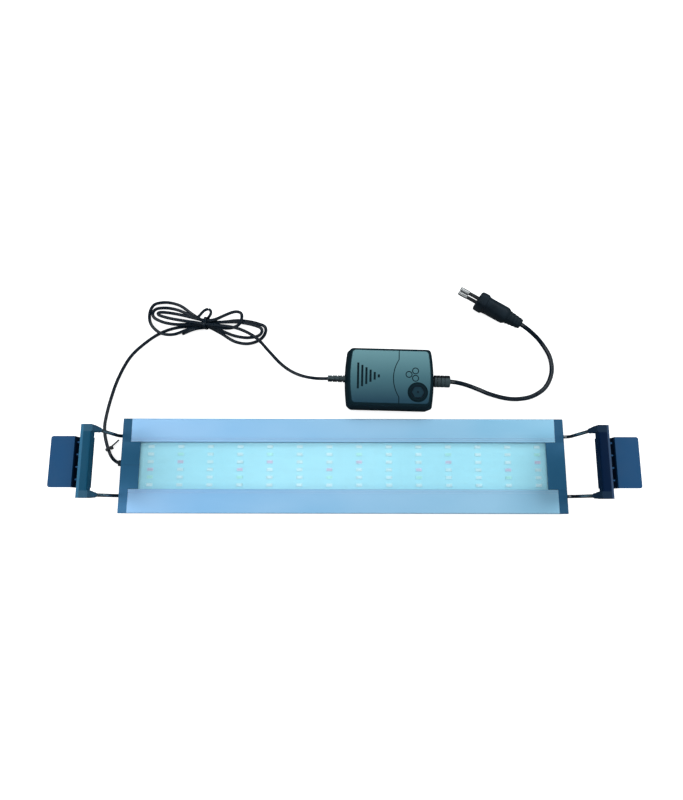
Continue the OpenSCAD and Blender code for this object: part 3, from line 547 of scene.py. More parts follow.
finishes = {
    "satin_aluminium": aluminium(),
    "white_board": board_lacquer(),
    "clear_acrylic": acrylic(),
    "thermal_silicone": surface("thermal_silicone", rgb(0.45, 0.5, 0.55), 0.7, grain=0.9),
    "zinc_screw": surface("zinc_screw", rgb(0.55, 0.6, 0.62), 0.35, 1.0, grain=0.3, wear=0.4),
    "led_case_white": surface("led_case_white", rgb(0.86, 0.99, 1.0), 0.45, mottle=0.04, grain=0.15),
    "led_case_red": surface("led_case_red", rgb(0.90, 0.84, 0.94), 0.45, mottle=0.04, grain=0.15),
    "led_case_green": surface("led_case_green", rgb(0.76, 0.98, 0.93), 0.45, mottle=0.04, grain=0.15),
    "led_white": surface("led_white", rgb(0.92, 1.0, 0.97), 0.25, mottle=0.05, grain=0.2, wear=0.0),
    "led_red": surface("led_red", rgb(0.91, 0.64, 0.78), 0.25, mottle=0.05, grain=0.2, wear=0.0),
    "led_green": surface("led_green", rgb(0.62, 0.98, 0.84), 0.25, mottle=0.05, grain=0.2, wear=0.0),
    "black_chip": surface("black_chip", rgb(0.02, 0.022, 0.025), 0.5, grain=0.2, wear=0.2),
    "red_insulation": surface("red_insulation", rgb(0.45, 0.02, 0.02), 0.4, grain=0.3),
    "black_insulation": surface("black_insulation", rgb(0.015, 0.015, 0.018), 0.4, grain=0.3),
    "brown_insulation": surface("brown_insulation", rgb(0.16, 0.05, 0.02), 0.4, grain=0.3),
    "solder": surface("solder", rgb(0.62, 0.64, 0.66), 0.3, 1.0, grain=0.25, wear=0.1),
    "cap_plastic": surface("cap_plastic", rgb(0.014, 0.088, 0.180), 0.42, grain=0.45, mottle=0.16,
                           mottle_size=14, wear=0.4, wear_colour=rgb(0.06, 0.16, 0.27),
                           colour_field=cap_painted_reflection),
    "soft_rubber": surface("soft_rubber", rgb(0.012, 0.018, 0.024), 0.6, grain=0.35, grain_depth=0.02),
    # On the strain reliefs the lighter worn edges also serve as painted highlights on the rings.
    "thin_relief": surface("thin_relief", rgb(0.020, 0.031, 0.036), 0.42, grain=0.35, grain_depth=0.02,
                           wear=0.6, wear_colour=rgb(0.10, 0.15, 0.17), colour_field=relief_painted_ring_highlights(3.1)),
    "thick_relief": surface("thick_relief", rgb(0.020, 0.031, 0.036), 0.42, grain=0.35, grain_depth=0.02,
                            wear=0.6, wear_colour=rgb(0.12, 0.18, 0.20), colour_field=relief_painted_ring_highlights(5.5)),
    "stainless": surface("stainless", rgb(0.17, 0.19, 0.20), 0.2, 1.0, grain=1.6, grain_depth=0.002,
                         wear=0.1, mottle=0.05, mottle_size=72),
    "acetal": surface("acetal", rgb(0.02, 0.022, 0.026), 0.5, grain=0.4),
    # The two brackets are one plastic: the left copy has painted light, the right copy painted shade, and
    # each has painted highlights on its lip and sockets.
    "bracket_left": surface("bracket_left", rgb(0.003, 0.062, 0.125), 0.42, ior=1.18, grain=0.5,
                            mottle=0.15, wear=0.35, wear_colour=rgb(0.06, 0.15, 0.22),
                            colour_field=bar_painted_highlights(rgb(0.003, 0.062, 0.120), rgb(0.035, 0.15, 0.26),
                                                  rgb(0.030, 0.098, 0.16), uprights[-1] + 5.0)),
    "bracket_right": surface("bracket_right", rgb(0.001, 0.010, 0.036), 0.45, ior=1.1, grain=0.5,
                             mottle=0.15, wear=0.35, wear_colour=rgb(0.03, 0.05, 0.09),
                             colour_field=bar_painted_highlights(rgb(0.001, 0.010, 0.036), rgb(0.045, 0.080, 0.15),
                                                   rgb(0.012, 0.028, 0.055), uprights[1] + 5.6)),
    "foot_plastic": surface("foot_plastic", rgb(0.005, 0.061, 0.162), 0.5, grain=0.55, mottle=0.12,
                            mottle_size=12, wear=0.3, wear_colour=rgb(0.03, 0.11, 0.22),
                            colour_field=foot_painted_slot_shade),
    "cable_pvc": surface("cable_pvc", rgb(0.002, 0.007, 0.014), 0.2, ior=1.28, grain=0.6, grain_depth=0.004,
                         mottle=0.2, wear=0.0),
    "supply_plastic": surface("supply_plastic", rgb(0.042, 0.115, 0.14), 0.45, ior=case_ior, grain=0.4,
                              grain_depth=0.02, mottle=0.12, mottle_size=16, wear=0.05,
                              colour_field=case_painted_light),
    "green_board": surface("green_board", rgb(0.01, 0.12, 0.04), 0.4, grain=0.5),
    "component_tape": banded("component_tape", rgb(0.55, 0.42, 0.06), rgb(0.45, 0.33, 0.05), 3.0, 2, 0.35),
    "capacitor_sleeve": banded("capacitor_sleeve", rgb(0.02, 0.03, 0.05), rgb(0.3, 0.34, 0.38), 12.0, 0, 0.3),
    "button_rubber": surface("button_rubber", rgb(0.005, 0.024, 0.038), 0.5, ior=1.15, grain=0.3,
                             colour_field=button_tint),
    "plug_plastic": surface("plug_plastic", rgb(0.010, 0.017, 0.024), 0.42, ior=1.16, grain=0.45, mottle=0.2),
    "nickel": surface("nickel", rgb(0.40, 0.41, 0.41), 0.4, 1.0, grain=5.0, grain_depth=0.0, wear=0.1),
}

# Finish of each part carried over from the CAD model, and the radius that its edges get.
kept_nodes = {
    "lamp_body": ("satin_aluminium", 0.3),
    "thermal_pad": ("thermal_silicone", 0.1),
    "led_board": ("white_board", 0.1),
    "board_screws": ("zinc_screw", 0.1),
    "board_resistors": ("black_chip", 0.08),
    "positive_lead": ("red_insulation", 0.0),
    "negative_lead": ("black_insulation", 0.0),
    "solder_joints": ("solder", 0.0),
    "clear_cover": ("clear_acrylic", 0.15),
    "left_end_cap": ("cap_plastic", 0.45),
    "right_end_cap": ("cap_plastic", 0.45),
    "end_cap_screws": ("zinc_screw", 0.12),
    "cable_grommet": ("soft_rubber", 0.2),
    "left_front_rod": ("stainless", 0.0),
    "left_rear_rod": ("stainless", 0.0),
    "right_front_rod": ("stainless", 0.0),
    "right_rear_rod": ("stainless", 0.0),
    "left_rod_stops": ("acetal", 0.2),
    "right_rod_stops": ("acetal", 0.2),
    "left_foot": ("foot_plastic", 0.35),
    "right_foot": ("foot_plastic", 0.35),
    "left_foot_screws": ("zinc_screw", 0.1),
    "right_foot_screws": ("zinc_screw", 0.1),
    "cable_tie": ("acetal", 0.15),
    "supply_screws": ("zinc_screw", 0.12),
    "supply_board": ("green_board", 0.1),
    "transformer": ("component_tape", 0.3),
    "mains_capacitor": ("capacitor_sleeve", 0.4),
    "output_capacitor": ("capacitor_sleeve", 0.4),
    "bridge_rectifier": ("black_chip", 0.2),
    "switch_board": ("green_board", 0.1),
    "tact_switch": ("black_chip", 0.15),
    "mode_button": ("button_rubber", 0.3),
    "dc_strain_relief": ("thin_relief", 0.3),
    "ac_strain_relief": ("thick_relief", 0.35),
    "dc_inner_wires": ("red_insulation", 0.0),
    "ac_inner_wires": ("brown_insulation", 0.0),
    "plug_pins": ("nickel", 0.15),
    "plug_pin_sleeves": ("acetal", 0.1),
}


def dress_kept_nodes():
    for name, (finish, radius) in kept_nodes.items():
        piece = frame["nodes"][name]
        piece.data.materials.clear()
        piece.data.materials.append(finishes[finish])
        weld_points(piece, 0.005)
        stored = piece.data.attributes.get("custom_normal")
        if stored:
            piece.data.attributes.remove(stored)
        piece.data.shade_smooth()
        if radius:
            soft_edges(piece, radius)


# ---------- LEDs ----------


def rounded_ring(half_a, half_b, radius, z, steps=3):
    points = []
    for sa, sb, start in ((1, 1, 0), (-1, 1, 90), (-1, -1, 180), (1, -1, 270)):
        middle_a, middle_b = sa * (half_a - radius), sb * (half_b - radius)
        for i in range(steps + 1):
            a = radians(start + 90 * i / steps)
            points.append((middle_a + radius * cos(a), middle_b + radius * sin(a), z))
    return points


def led_case():
    """Package with a raised rim round a recess."""
    a, b = led_l / 2, led_w / 2
    rings = [
        rounded_ring(a - 0.05, b - 0.05, 0.2, 0.02),
        rounded_ring(a, b, 0.25, 0.12),
        rounded_ring(a, b, 0.25, led_t - 0.12),
        rounded_ring(a - 0.1, b - 0.1, 0.25, led_t),
        rounded_ring(a - 0.42, b - 0.32, 0.3, led_t),
        rounded_ring(a - 0.5, b - 0.4, 0.3, led_t - 0.08),
        rounded_ring(a - 0.6, b - 0.5, 0.3, led_t - 0.35),
    ]
    return loft(rings)


def led_gel():
    """Slightly crowned filling of the recess."""
    a, b = led_l / 2 - 0.58, led_w / 2 - 0.48
    rings = [
        rounded_ring(a, b, 0.3, led_t - 0.33),
        rounded_ring(a, b, 0.3, led_t - 0.16),
        rounded_ring(a * 0.7, b * 0.7, 0.3, led_t - 0.11),
        rounded_ring(a * 0.3, b * 0.3, 0.15, led_t - 0.09),
    ]
    return loft(rings)


def led_kind(i, j):
    """Kind at column i and row j, row 0 at +Y: the columns repeat in threes."""
    column = i % 3
    if (column == 0 and j == 3) or (column == 1 and j == 2):
        return "red"
    if (column == 0 and j == 4) or (column == 1 and j == 1):
        return "green"
    return "white"


def leds(kind):
    places = [
        Matrix.Translation((grid_x0 + i * led_pitch_x, grid_y0 + (led_rows - 1 - j) * led_pitch_y, led_z))
        for i in range(led_cols)
        for j in range(led_rows)
        if led_kind(i, j) == kind
    ]
    case, gel = led_case(), led_gel()
    parts = [moved(case, place) for place in places] + [moved(gel, place) for place in places]
    case_faces = len(case[1]) * len(places)
    piece = mesh_object(kind + "_led_packages", joined(parts))
    dress(piece, "lamp", "led_case_" + kind, [kind + "_leds"])
    piece.data.materials.append(finishes["led_" + kind])
    for face in piece.data.polygons[case_faces:]:
        face.material_index = 1
    flat_normals(piece)


# ---------- crossbars ----------

rod_y = 27.0
bar_u0, bar_u1 = -1.3, 5.9
socket_u0 = -2.1
bar_h = 8.0
flange_u1 = 7.4
flange_t = 1.98
bar_end_y = 29.6
tip_r = 2.3


def bar_prism(u0, u1, z0, z1, radius, half_y):
    """Rounded bar along Y, u being the distance outward from the rods' uprights."""
    middle_u, middle_z = (u0 + u1) / 2, (z0 + z1) / 2
    outline = rounded_ring((u1 - u0) / 2, (z1 - z0) / 2, radius, 0, 4)
    return loft([[(middle_u + a, y, middle_z + b) for a, b, _ in outline] for y in (-half_y, half_y)])


def socket(way, bar_top, tip_z):
    """Round tip that spreads into the square end of the bar; way is -1 at the front and 1 at the rear."""
    full_z = bar_top - 7
    reach = (bar_u1 - socket_u0) / 2
    bar_u = (bar_u1 + socket_u0) / 2
    rings = [rounded_ring(tip_r - 0.25, tip_r - 0.25, tip_r - 0.3, tip_z, 6)]
    steps = 9
    for i in range(steps + 1):
        t = i / steps
        ease = t * t * (3 - 2 * t)
        half_u = tip_r + (reach + 0.05 - tip_r) * ease
        ring = rounded_ring(half_u, tip_r + 0.75 * ease, tip_r - 0.05 - 1.1 * ease, 0, 6)
        z = tip_z + 0.25 + (full_z - tip_z - 0.25) * t
        rings.append([(bar_u * ease + u, y - 0.4 * ease, z) for u, y, _ in ring])
    rings.append([(u, y, bar_top - 0.05) for u, y, _ in rings[-1]])
    return loft([[(u, way * (rod_y + y), z) for u, y, z in ring] for ring in rings])


def crossbar(side):
    """side is -1 for the left bracket and 1 for the right."""
    word = "left" if side < 0 else "right"
    low, high = box_mm(word + "_crossbar")
    rod_end_z = box_mm(word + "_front_rod")[1].z

    def placed(part):
        return [(side * (uprights[side] + u), y, z) for u, y, z in part[0]], part[1]

    piece = mesh_object(word + "_bar", placed(bar_prism(bar_u0, bar_u1, high.z - bar_h, high.z, 1.3, rod_y)))
    flange = bar_prism(bar_u0 + 0.3, flange_u1, high.z - flange_t, high.z - 0.15, 0.5, bar_end_y)
    boolean(piece, placed(flange), "UNION")
    for way in (-1, 1):
        boolean(piece, placed(socket(way, high.z, low.z)), "UNION")
        bore = disc(0, way * rod_y, low.z - 1, rod_end_z + 0.05, rod_r + 0.02, 32)
        boolean(piece, placed(bore), "DIFFERENCE")
    dress(piece, word + "_bracket", "bracket_" + word, [word + "_crossbar"])
    soft_edges(piece, 0.3, segments=3)


# ---------- power supply ----------

supply_turn = radians(-1.4)
supply_l = 82.0
supply_w = 54.5
end_bow = 1.6
corner_r = 3.5
button_x = 24.5
button_y = -13.7
button_hole_r = 6.3
bezel_r = 7.6
bezel_h = 0.9
trench_r = 9.1
boss_x, boss_y, boss_r = 32, 20, 3.5
screw_r, screw_head_r, screw_head_z = 1.6, 2.7, 4
neck_radii = {-1: 3.02, 1: 4.02}
arrow_lines, arrow_x, arrow_pitch = 6, -30, 3.72
rings_x, rings_y, rings_apart = 20.5, 2.4, 3.9
at_supply = (
    Matrix.Translation(((supply_low.x + supply_high.x) / 2, supply_middle_y, 0))
    @ Matrix.Rotation(supply_turn, 4, "Z")
)


def supply_point(x, y, z):
    return at_supply @ Vector((x, y, z))


def case_ring(z, dx=0.0, dy=0.0, scale_x=1.0, scale_y=1.0):
    """Outline of the case at height z: bulging ends, round corners, pulled in by dx and dy."""
    half_l, half_w = supply_l / 2 - dx, supply_w / 2 - dy
    bow_steps, corner_steps = 8, 6
    quarter = []
    for i in range(bow_steps + 1):
        t = i / bow_steps
        quarter.append((half_l - end_bow * t * t, (half_w - corner_r) * t))
    for i in range(1, corner_steps + 1):
        a = pi / 2 * i / corner_steps
        x = half_l - end_bow - corner_r + corner_r * cos(a)
        quarter.append((x, half_w - corner_r + corner_r * sin(a)))
    flat_x, flat_steps = quarter[-1][0], 4
    for i in range(1, flat_steps):
        quarter.append((flat_x * (1 - i / flat_steps), half_w))
    upper = quarter + [(0.0, half_w)] + [(-x, y) for x, y in reversed(quarter)]
    outline = upper + [(x, -y) for x, y in reversed(upper[1:-1])]
    return [(x * scale_x, y * scale_y, z) for x, y in outline]


def shell(z_joint, z_end, draft, fillet, cavity, wall):
    """Half of the case as a hollow shell: cavity floor, joint face, outer wall, rounded rim, outer face.

    draft is how far the walls lean in, cavity the half length and half width of the hollow.
    """
    way = 1 if z_end > z_joint else -1
    lip = 0.25
    inset_x, inset_y = draft
    hollow_x, hollow_y = cavity[0] / (supply_l / 2), cavity[1] / (supply_w / 2)
    rings = [
        case_ring(z_end - way * wall, scale_x=hollow_x, scale_y=hollow_y),
        case_ring(z_joint, scale_x=hollow_x, scale_y=hollow_y),
        case_ring(z_joint, lip, lip),
        case_ring(z_joint + way * lip, 0.02, 0.02),
    ]
    height = abs(z_end - z_joint)
    steps = 7
    start = 1 - fillet / height
    rings += [case_ring(z_joint + way * height * t, inset_x * t, inset_y * t) for t in (start * 0.5, start)]
    for i in range(1, steps + 1):
        a = pi / 2 * i / steps
        inward = fillet * (1 - cos(a))
        z = z_end - way * fillet * (1 - sin(a))
        t = abs(z - z_joint) / height
        rings.append(case_ring(z, inset_x * t + inward, inset_y * t + inward))
    return loft(rings)


def disc(x, y, z0, z1, radius, sides, softness=0.0):
    """Upright round post, with a softened upper rim."""
    heights = [(radius, z0), (radius, z1 - softness)]
    if softness:
        heights += [(radius - 0.3 * softness, z1 - 0.3 * softness), (radius - softness, z1)]
    return loft([[(x + a, y + b, z) for a, b in circle(r, sides)] for r, z in heights])


def block(x0, x1, y0, y1, z0, z1):
    outline = [(x0, y0), (x1, y0), (x1, y1), (x0, y1)]
    return loft([[(x, y, z) for x, y in outline] for z in (z0, z1)])


def neck_hole(side):
    """Round hole through the end wall for a strain relief's neck."""
    outline = circle(neck_radii[side], 32)
    return loft([[(x, a, split_z + b) for a, b in outline] for x in (side * 28, side * (supply_l / 2 + 2))])


def ring_groove(x, y, inner, outer, depth, sides=48):
    """Tool for a round groove in the lid's top."""
    z0, z1 = supply_h - depth, supply_h + 1
    corners = [(outer, z1), (outer, z0), (inner, z0), (inner, z1)]
    points = [
        (x + r * cos(2 * pi * k / sides), y + r * sin(2 * pi * k / sides), z)
        for k in range(sides) for r, z in corners
    ]
    n = len(corners)
    faces = [
        (n * k + i, n * k + (i + 1) % n, n * ((k + 1) % sides) + (i + 1) % n, n * ((k + 1) % sides) + i)
        for k in range(sides) for i in range(n)
    ]
    return points, faces


def seam_groove():
    """Line across the lid: an arc about a centre on the button side, with a straight run to each edge."""
    apex_x, middle_y, seam_r, half_angle, width, depth, steps = 2.3, -1.3, 32.3, 32, 0.8, 0.55, 24
    centre_x = apex_x + seam_r
    angles = [radians(180 - half_angle + 2 * half_angle * i / steps) for i in range(steps + 1)]
    path = [(centre_x + seam_r * cos(a), middle_y + seam_r * sin(a)) for a in angles]
    path = [(path[0][0], supply_w)] + path + [(path[-1][0], -supply_w)]
    return loft([
        [(x + across, y, z) for across, z in ((0, supply_h + 1), (0, supply_h - depth),
                                              (width, supply_h - depth), (width, supply_h + 1))]
        for x, y in path
    ])


def arrow_grooves():
    """Grooves that shrink to an arrow head."""
    parts = []
    for i in range(arrow_lines):
        half = 11.9 - 2.1 * i
        x = arrow_x + arrow_pitch * i
        parts.append(block(x, x + 1.9, 0.3 - half, 0.3 + half, supply_h - 0.7, supply_h + 1))
    return joined(parts)


def engraved_rings():
    """Three separate small rings next to the button."""
    parts = []
    for i in range(3):
        a = radians(60 + 120 * i)
        x, y = rings_x + rings_apart * cos(a), rings_y + rings_apart * sin(a)
        parts.append(ring_groove(x, y, 2.25, 3.1, 0.4))
    return joined(parts)


def power_supply():
    lid = mesh_object("power_supply_lid", shell(split_z, supply_h, (2.94, 1.05), 3.0, (32, 23), 2.4))
    boolean(lid, disc(button_x, button_y, supply_h - 0.5, supply_h + bezel_h, bezel_r, 64, 0.4), "UNION")
    boolean(lid, disc(button_x, button_y, split_z + 2, supply_h + 3, button_hole_r, 64), "DIFFERENCE")
    button_trench = ring_groove(button_x, button_y, bezel_r, trench_r, 0.6, 64)
    for groove in (arrow_grooves(), seam_groove(), engraved_rings(), button_trench):
        boolean(lid, groove, "DIFFERENCE")
    base = mesh_object("power_supply_base", shell(split_z, 0, (2.1, 0.75), 1.2, (34, 24), 2))
    for s in (-1, 1):
        x, y = s * boss_x, s * boss_y
        boolean(base, disc(x, y, 0.5, split_z, boss_r, 32), "UNION")
        boolean(base, disc(x, y, -1, split_z + 1, screw_r, 32), "DIFFERENCE")
        boolean(base, disc(x, y, -1, screw_head_z, screw_head_r, 32), "DIFFERENCE")
    for half, node in ((lid, "supply_lid"), (base, "supply_base")):
        for side in (-1, 1):
            boolean(half, neck_hole(side), "DIFFERENCE")
        shift_mesh(half, at_supply)
        dress(half, "lamp", "supply_plastic", [node])
        soft_edges(half, 0.14)


# ---------- cables ----------

hank_centre = Vector((-131, 135.4, 0))
hank_turn = radians(-10)
hank_z = 1.7
hank_rise = 2.8
waist_half = 1.9
waist_w = 26.0
lay_z = 1.0
lobe_steps = 12
# Each lobe of the hank: length, half width, sideways shift, extra shift of its far end
lobes = [(57, 15.5, -2, 5), (56, 22.5, -1.8, 4), (54, 10, -0.5, 2), (52, 11, 1, 0), (33, 17, 12, 0),
         (46, 4, 0.5, 0)]
lobe_fullness = 0.75


def at_hank(u, v, z):
    x = hank_centre.x + u * cos(hank_turn) - v * sin(hank_turn)
    y = hank_centre.y + u * sin(hank_turn) + v * cos(hank_turn)
    return Vector((x, y, z))


def hank_point(k):
    """The spare cable is wound into lobes, right and left in turn, tied at its waist."""
    length, half_width, shift, curl = lobes[min(k // lobe_steps, len(lobes) - 1)]
    a = radians(-90 + 180 * k / lobe_steps)
    u = length * cos(a)
    pinch = exp(-((u / waist_w) ** 2))
    across = copysign(abs(sin(a)) ** lobe_fullness, sin(a))
    v = across * (half_width * (1 - pinch) + waist_half * pinch) + shift * (1 - pinch) + curl * cos(a) ** 6
    return at_hank(u, v, hank_z + hank_rise * k / (2 * lobe_steps))


def low_voltage_line():
    cable_y, cable_z = 2.2, 6.5
    lead_in = [
        (-195.2, cable_y, cable_z), (-201, cable_y, cable_z), (-206.5, 3.2, 5.6), (-213, 8, 2.4),
        (-217.5, 16, lay_z), (-220.5, 25, lay_z), (-222, 33, lay_z), (-222, 42, lay_z), (-219, 60, lay_z),
        (-213, 82, lay_z), (-203, 103, lay_z), (-189, 117.5, lay_z), (-175, 127.2, lay_z),
        (-161, 132.2, lay_z), (-146, 133.6, hank_z - 0.2),
    ]
    hank = [hank_point(k) for k in range(lobe_steps * len(lobes) + 1)]
    lead_out = [
        (-110, 131, 10.6), (-97, 128, 10.4), (-82, 120, 9), (-70, 107.7, 5.4), (-60, 97.5, 2.4),
        (-50, 90.1, 1.5), (-39, 84.9, 3.4), (-28, 81.5, 9), (-20, 80, 13.6),
    ]
    ends = [supply_point(-54, 0, split_z), supply_point(-36, 0, split_z)]
    return spline(lead_in + hank + lead_out + ends, 5)


def twin_section(half_gap, radius):
    """Two round cores side by side: width 2 * (half_gap + radius)."""
    sides = 24
    points = []
    for k in range(sides):
        a = 2 * pi * k / sides
        r = half_gap * abs(cos(a)) + sqrt(radius**2 - (half_gap * sin(a)) ** 2)
        points.append((r * cos(a), r * sin(a)))
    return points


def lead(name, part, node):
    dress(mesh_object(name, part), "lamp", "cable_pvc", [node])


def mains_line():
    lay = 1.55
    ends = plug_point(-47, 0, 0), plug_point(-38, 0, 0)
    middle = [
        (112, 76, 9), (126, 72.5, 3.4), (138, 68, lay), (153, 64, lay), (166, 63.5, lay), (179, 66.5, lay),
        (191, 75, lay), (197.5, 89, lay), (196.5, 104, lay + 0.5), (188, 117, 5.5), (177, 125, 12.5),
    ]
    start = [supply_point(36, 0, split_z), supply_point(56, 0, split_z)]
    return spline(start + middle + list(ends), 6)


def twist_tie():
    """Flat wire tie round the hank's waist, one end curled over, the other pulled along it."""
    half_w, top, bottom = 4.9, 11.75, 0.55
    middle, half_h = (top + bottom) / 2, (top - bottom) / 2
    turns, turn_steps, per_turn = 1.5, 16, 1.9
    line = [at_hank(-21, -13.6, 2.5), at_hank(-13.5, -9.2, 4.2), at_hank(-7, -6.2, 4.8)]
    for i in range(int(turn_steps * turns) + 1):
        a = radians(200) + 2 * pi * i / turn_steps
        r = squircle_r(a, 4)
        u = -1.4 + per_turn * i / turn_steps
        line.append(at_hank(u, half_w * r * cos(a), middle + half_h * r * sin(a)))
    line += [at_hank(3.4, 6.2, 11.5), at_hank(4.2, 9.0, 12.2), at_hank(3.2, 11.4, 12.6),
             at_hank(0.8, 12.0, 12.6), at_hank(-2.0, 10.6, 12.4), at_hank(-4.0, 8.0, 12.2),
             at_hank(-5.6, 5.2, 12), at_hank(-7.0, 3.0, 12)]
    section = superellipse(1.35, 0.55, 3, 16)
    smooth = spline(line, 4)
    axis = at_hank(1, 0, 0) - at_hank(0, 0, 0)
    rings = []
    for i, centre in enumerate(smooth):
        along = (smooth[min(i + 1, len(smooth) - 1)] - smooth[max(i - 1, 0)]).normalized()
        width = (axis - along * axis.dot(along)).normalized()
        thick = along.cross(width)
        rings.append([centre + width * a + thick * b for a, b in section])
    return loft(rings)


# ---------- plug ----------

plug_l = 46.0
pin_gap = 18.6
bare_l = 9.0
pin_l = 19.0


def plug_frame():
    """Frame of the plug: +X along its pins, Z from the lower pin to the upper one, origin on its face."""
    upper, lower = mount("upper_plug_pin"), mount("lower_plug_pin")
    pins_x = Vector(upper["axis"]).normalized()
    across = (Vector(upper["pos_m"]) - Vector(lower["pos_m"])).normalized()
    pins_z = (across - pins_x * across.dot(pins_x)).normalized()
    pins_y = pins_z.cross(pins_x)
    middle = (Vector(upper["pos_m"]) + Vector(lower["pos_m"])) / 2 / MM
    mount_x = pin_l - bare_l / 2 - 0.5
    matrix = Matrix((pins_x, pins_y, pins_z)).transposed().to_4x4()
    matrix.translation = middle - pins_x * mount_x
    return matrix


at_plug = plug_frame()


def plug_point(x, y, z):
    return at_plug @ Vector((x, y, z))


def plug_body():
    """Front block with rounded rims, a pinch behind it, a waisted grip with hips, and a ridged tail."""
    # Each station: distance from the front face, half height across the pins, half thickness, squareness
    stations = [
        (0.0, 16.0, 6.0, 3.4), (-0.35, 16.6, 6.7, 3.4), (-1.2, 17.3, 7.5, 3.4), (-4.5, 17.5, 7.85, 3.4),
        (-7.6, 17.3, 7.8, 3.4), (-8.2, 17.0, 7.5, 3.2), (-8.6, 16.6, 7.1, 3.0), (-9.2, 16.2, 6.9, 3.0),
        (-12.2, 15.3, 6.85, 2.9), (-16, 14.3, 7.0, 2.8), (-20, 13.4, 7.15, 2.8), (-24.5, 12.3, 7.3, 2.8),
        (-28, 11.3, 7.35, 2.8), (-29.6, 10.7, 7.2, 2.8), (-30.8, 9.8, 6.7, 2.6), (-31.8, 9.1, 6.0, 2.6),
    ]
    tail_start, ridges, steps_per_ridge = -32.4, 4, 6
    for i in range(ridges * steps_per_ridge + 1):
        t = i / (ridges * steps_per_ridge)
        ridge = 0.4 * max(0.0, sin(2 * pi * ridges * t)) - 0.1
        x = tail_start + (-plug_l + 0.6 - tail_start) * t
        stations.append((x, 8.8 - 3.1 * t + ridge, 5.9 - 1.4 * t + ridge, 2.5))
    stations.append((-plug_l + 0.1, 4.9, 4.0, 2.4))
    rings = [
        [(x, a, b) for a, b in superellipse(half_y, half_z, power, 56)]
        for x, half_z, half_y, power in stations
    ]
    piece = mesh_object("plug_shell", loft(rings))
    # Each bore: height, radius, near end and far end; two for the pins, one for the cable
    bores = [(s * pin_gap / 2, 1.72, -12.0, 1.0) for s in (-1, 1)] + [(0.0, 2.4, -plug_l - 1, -36.5)]
    for z, radius, x0, x1 in bores:
        bore = loft([[(x, a, z + b) for a, b in circle(radius, 32)] for x in (x0, x1)])
        boolean(piece, bore, "DIFFERENCE")
    shift_mesh(piece, at_plug)
    dress(piece, "lamp", "plug_plastic", ["plug_body"])
    soft_edges(piece, 0.12, angle=50)


# ---------- stage, lights and camera ----------


def floor_paper():
    """White paper to the eye, backlit so that shadows on it stay faint; it throws little light back up."""
    s = Shader("floor_paper")
    seen = s.node("AddShader")
    glow = s.node("Emission")
    s.feed(glow.inputs["Color"], rgb(1.0, 1.0, 1.0))
    s.feed(glow.inputs["Strength"], 0.78)
    paper = s.node("BsdfDiffuse")
    s.feed(paper.inputs["Color"], rgb(0.6, 0.6, 0.6))
    s.feed(seen.inputs[0], glow.outputs[0])
    s.feed(seen.inputs[1], paper.outputs[0])
    dim = s.node("BsdfDiffuse")
    s.feed(dim.inputs["Color"], rgb(0.16, 0.17, 0.18))
    both = s.node("MixShader")
    s.feed(both.inputs[0], s.node("LightPath").outputs["Is Camera Ray"])
    s.feed(both.inputs[1], dim.outputs[0])
    s.feed(both.inputs[2], seen.outputs[0])
    return s.finish(both.outputs[0])


def floor():
    half = 3000
    z = cad_low.z / MM - 0.05
    piece = mesh_object("floor", ([(-half, -half, z), (half, -half, z), (half, half, z), (-half, half, z)],
                                  [(0, 1, 2, 3)]))
    piece.data.materials.append(floor_paper())


def softbox(name, place, size, power, colour):
    light = bpy.data.lights.new(name, "AREA")
    light.shape = "RECTANGLE"
    light.size, light.size_y = size
    light.energy = power
    light.color = colour
    lamp = bpy.data.objects.new(name, light)
    lamp.location = place
    lamp.rotation_euler = (-Vector(place)).to_track_quat("-Z", "Y").to_euler()
    bpy.context.scene.collection.objects.link(lamp)


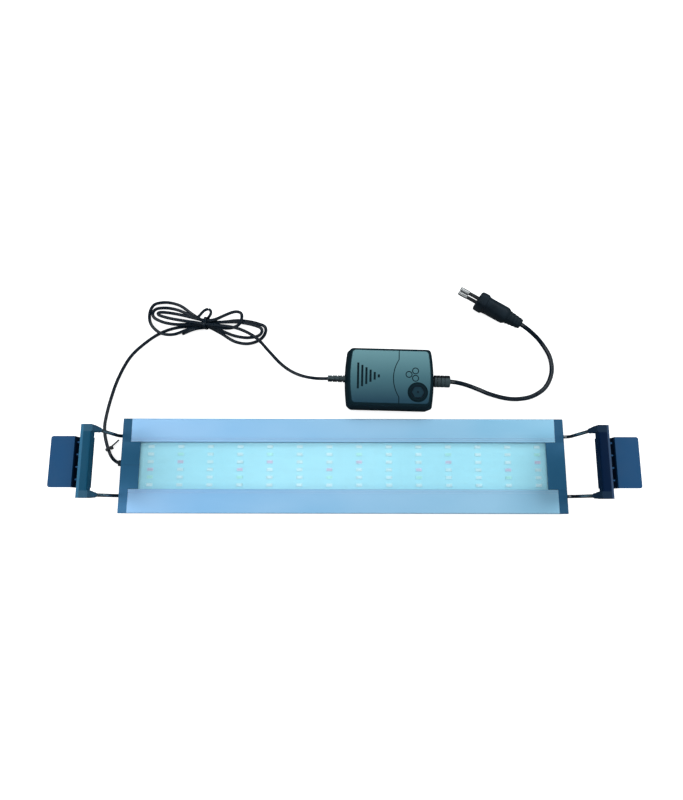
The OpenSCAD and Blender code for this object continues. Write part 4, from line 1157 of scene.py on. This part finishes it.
def studio():
    """Soft boxes round the lamp in a dim room, whose walls look as white as the floor."""
    world = bpy.data.worlds.new("studio")
    world.use_nodes = True
    nodes, links = world.node_tree.nodes, world.node_tree.links
    room = nodes["Background"]
    room.inputs["Color"].default_value = rgb(0.93, 0.97, 1.0)
    room.inputs["Strength"].default_value = 0.18
    backdrop = nodes.new("ShaderNodeBackground")
    backdrop.inputs["Color"].default_value = rgb(0.97, 0.98, 0.99)
    pick = nodes.new("ShaderNodeMixShader")
    links.new(nodes.new("ShaderNodeLightPath").outputs["Is Camera Ray"], pick.inputs[0])
    links.new(room.outputs[0], pick.inputs[1])
    links.new(backdrop.outputs[0], pick.inputs[2])
    links.new(pick.outputs[0], nodes["World Output"].inputs["Surface"])
    bpy.context.scene.world = world
    softbox("left_softbox", (-1.05, 0.05, 1.1), (0.6, 1.0), 8.5, (0.9, 0.96, 1.0))
    softbox("right_softbox", (1.2, 0.3, 1.3), (0.7, 0.8), 11, (0.95, 1.0, 1.0))
    softbox("rear_softbox", (0.2, 1.3, 1.4), (1.4, 0.6), 13, (0.97, 0.99, 1.0))
    softbox("front_softbox", (-0.4, -1.3, 1.3), (1.2, 0.5), 5, (0.94, 0.97, 1.0))
    softbox("top_softbox", (-0.1, 0.0, 1.7), (0.9, 0.5), 3, (0.94, 0.98, 1.0))
    bpy.context.scene.view_settings.view_transform = "Standard"


def camera():
    """Looks almost straight down from half a metre, tipped a little towards the power supply."""
    tilt, lean, yaw = 0.1782, 0.0015, 0.0021
    eye = (-0.00241, -0.03341, 0.5318)
    data = bpy.data.cameras.new("camera")
    data.sensor_width = 36.0
    data.lens = 25.81
    data.clip_start = 0.01
    rig = bpy.data.objects.new("camera", data)
    turn = Matrix.Rotation(tilt, 4, "X") @ Matrix.Rotation(-lean, 4, "Y") @ Matrix.Rotation(yaw, 4, "Z")
    rig.matrix_world = Matrix.Translation(eye) @ turn
    bpy.context.scene.collection.objects.link(rig)
    bpy.context.scene.camera = rig


dress_kept_nodes()
for kind in ("white", "red", "green"):
    leds(kind)
crossbar(-1)
crossbar(1)
power_supply()
lead("low_voltage_cable", sweep(low_voltage_line(), twin_section(0.58, 0.92)), "dc_cable")
lead("mains_lead", sweep(mains_line(), twin_section(0.68, 1.4)), "mains_cable")
lead("wire_tie", twist_tie(), "twist_tie")
plug_body()
floor()
studio()
camera()
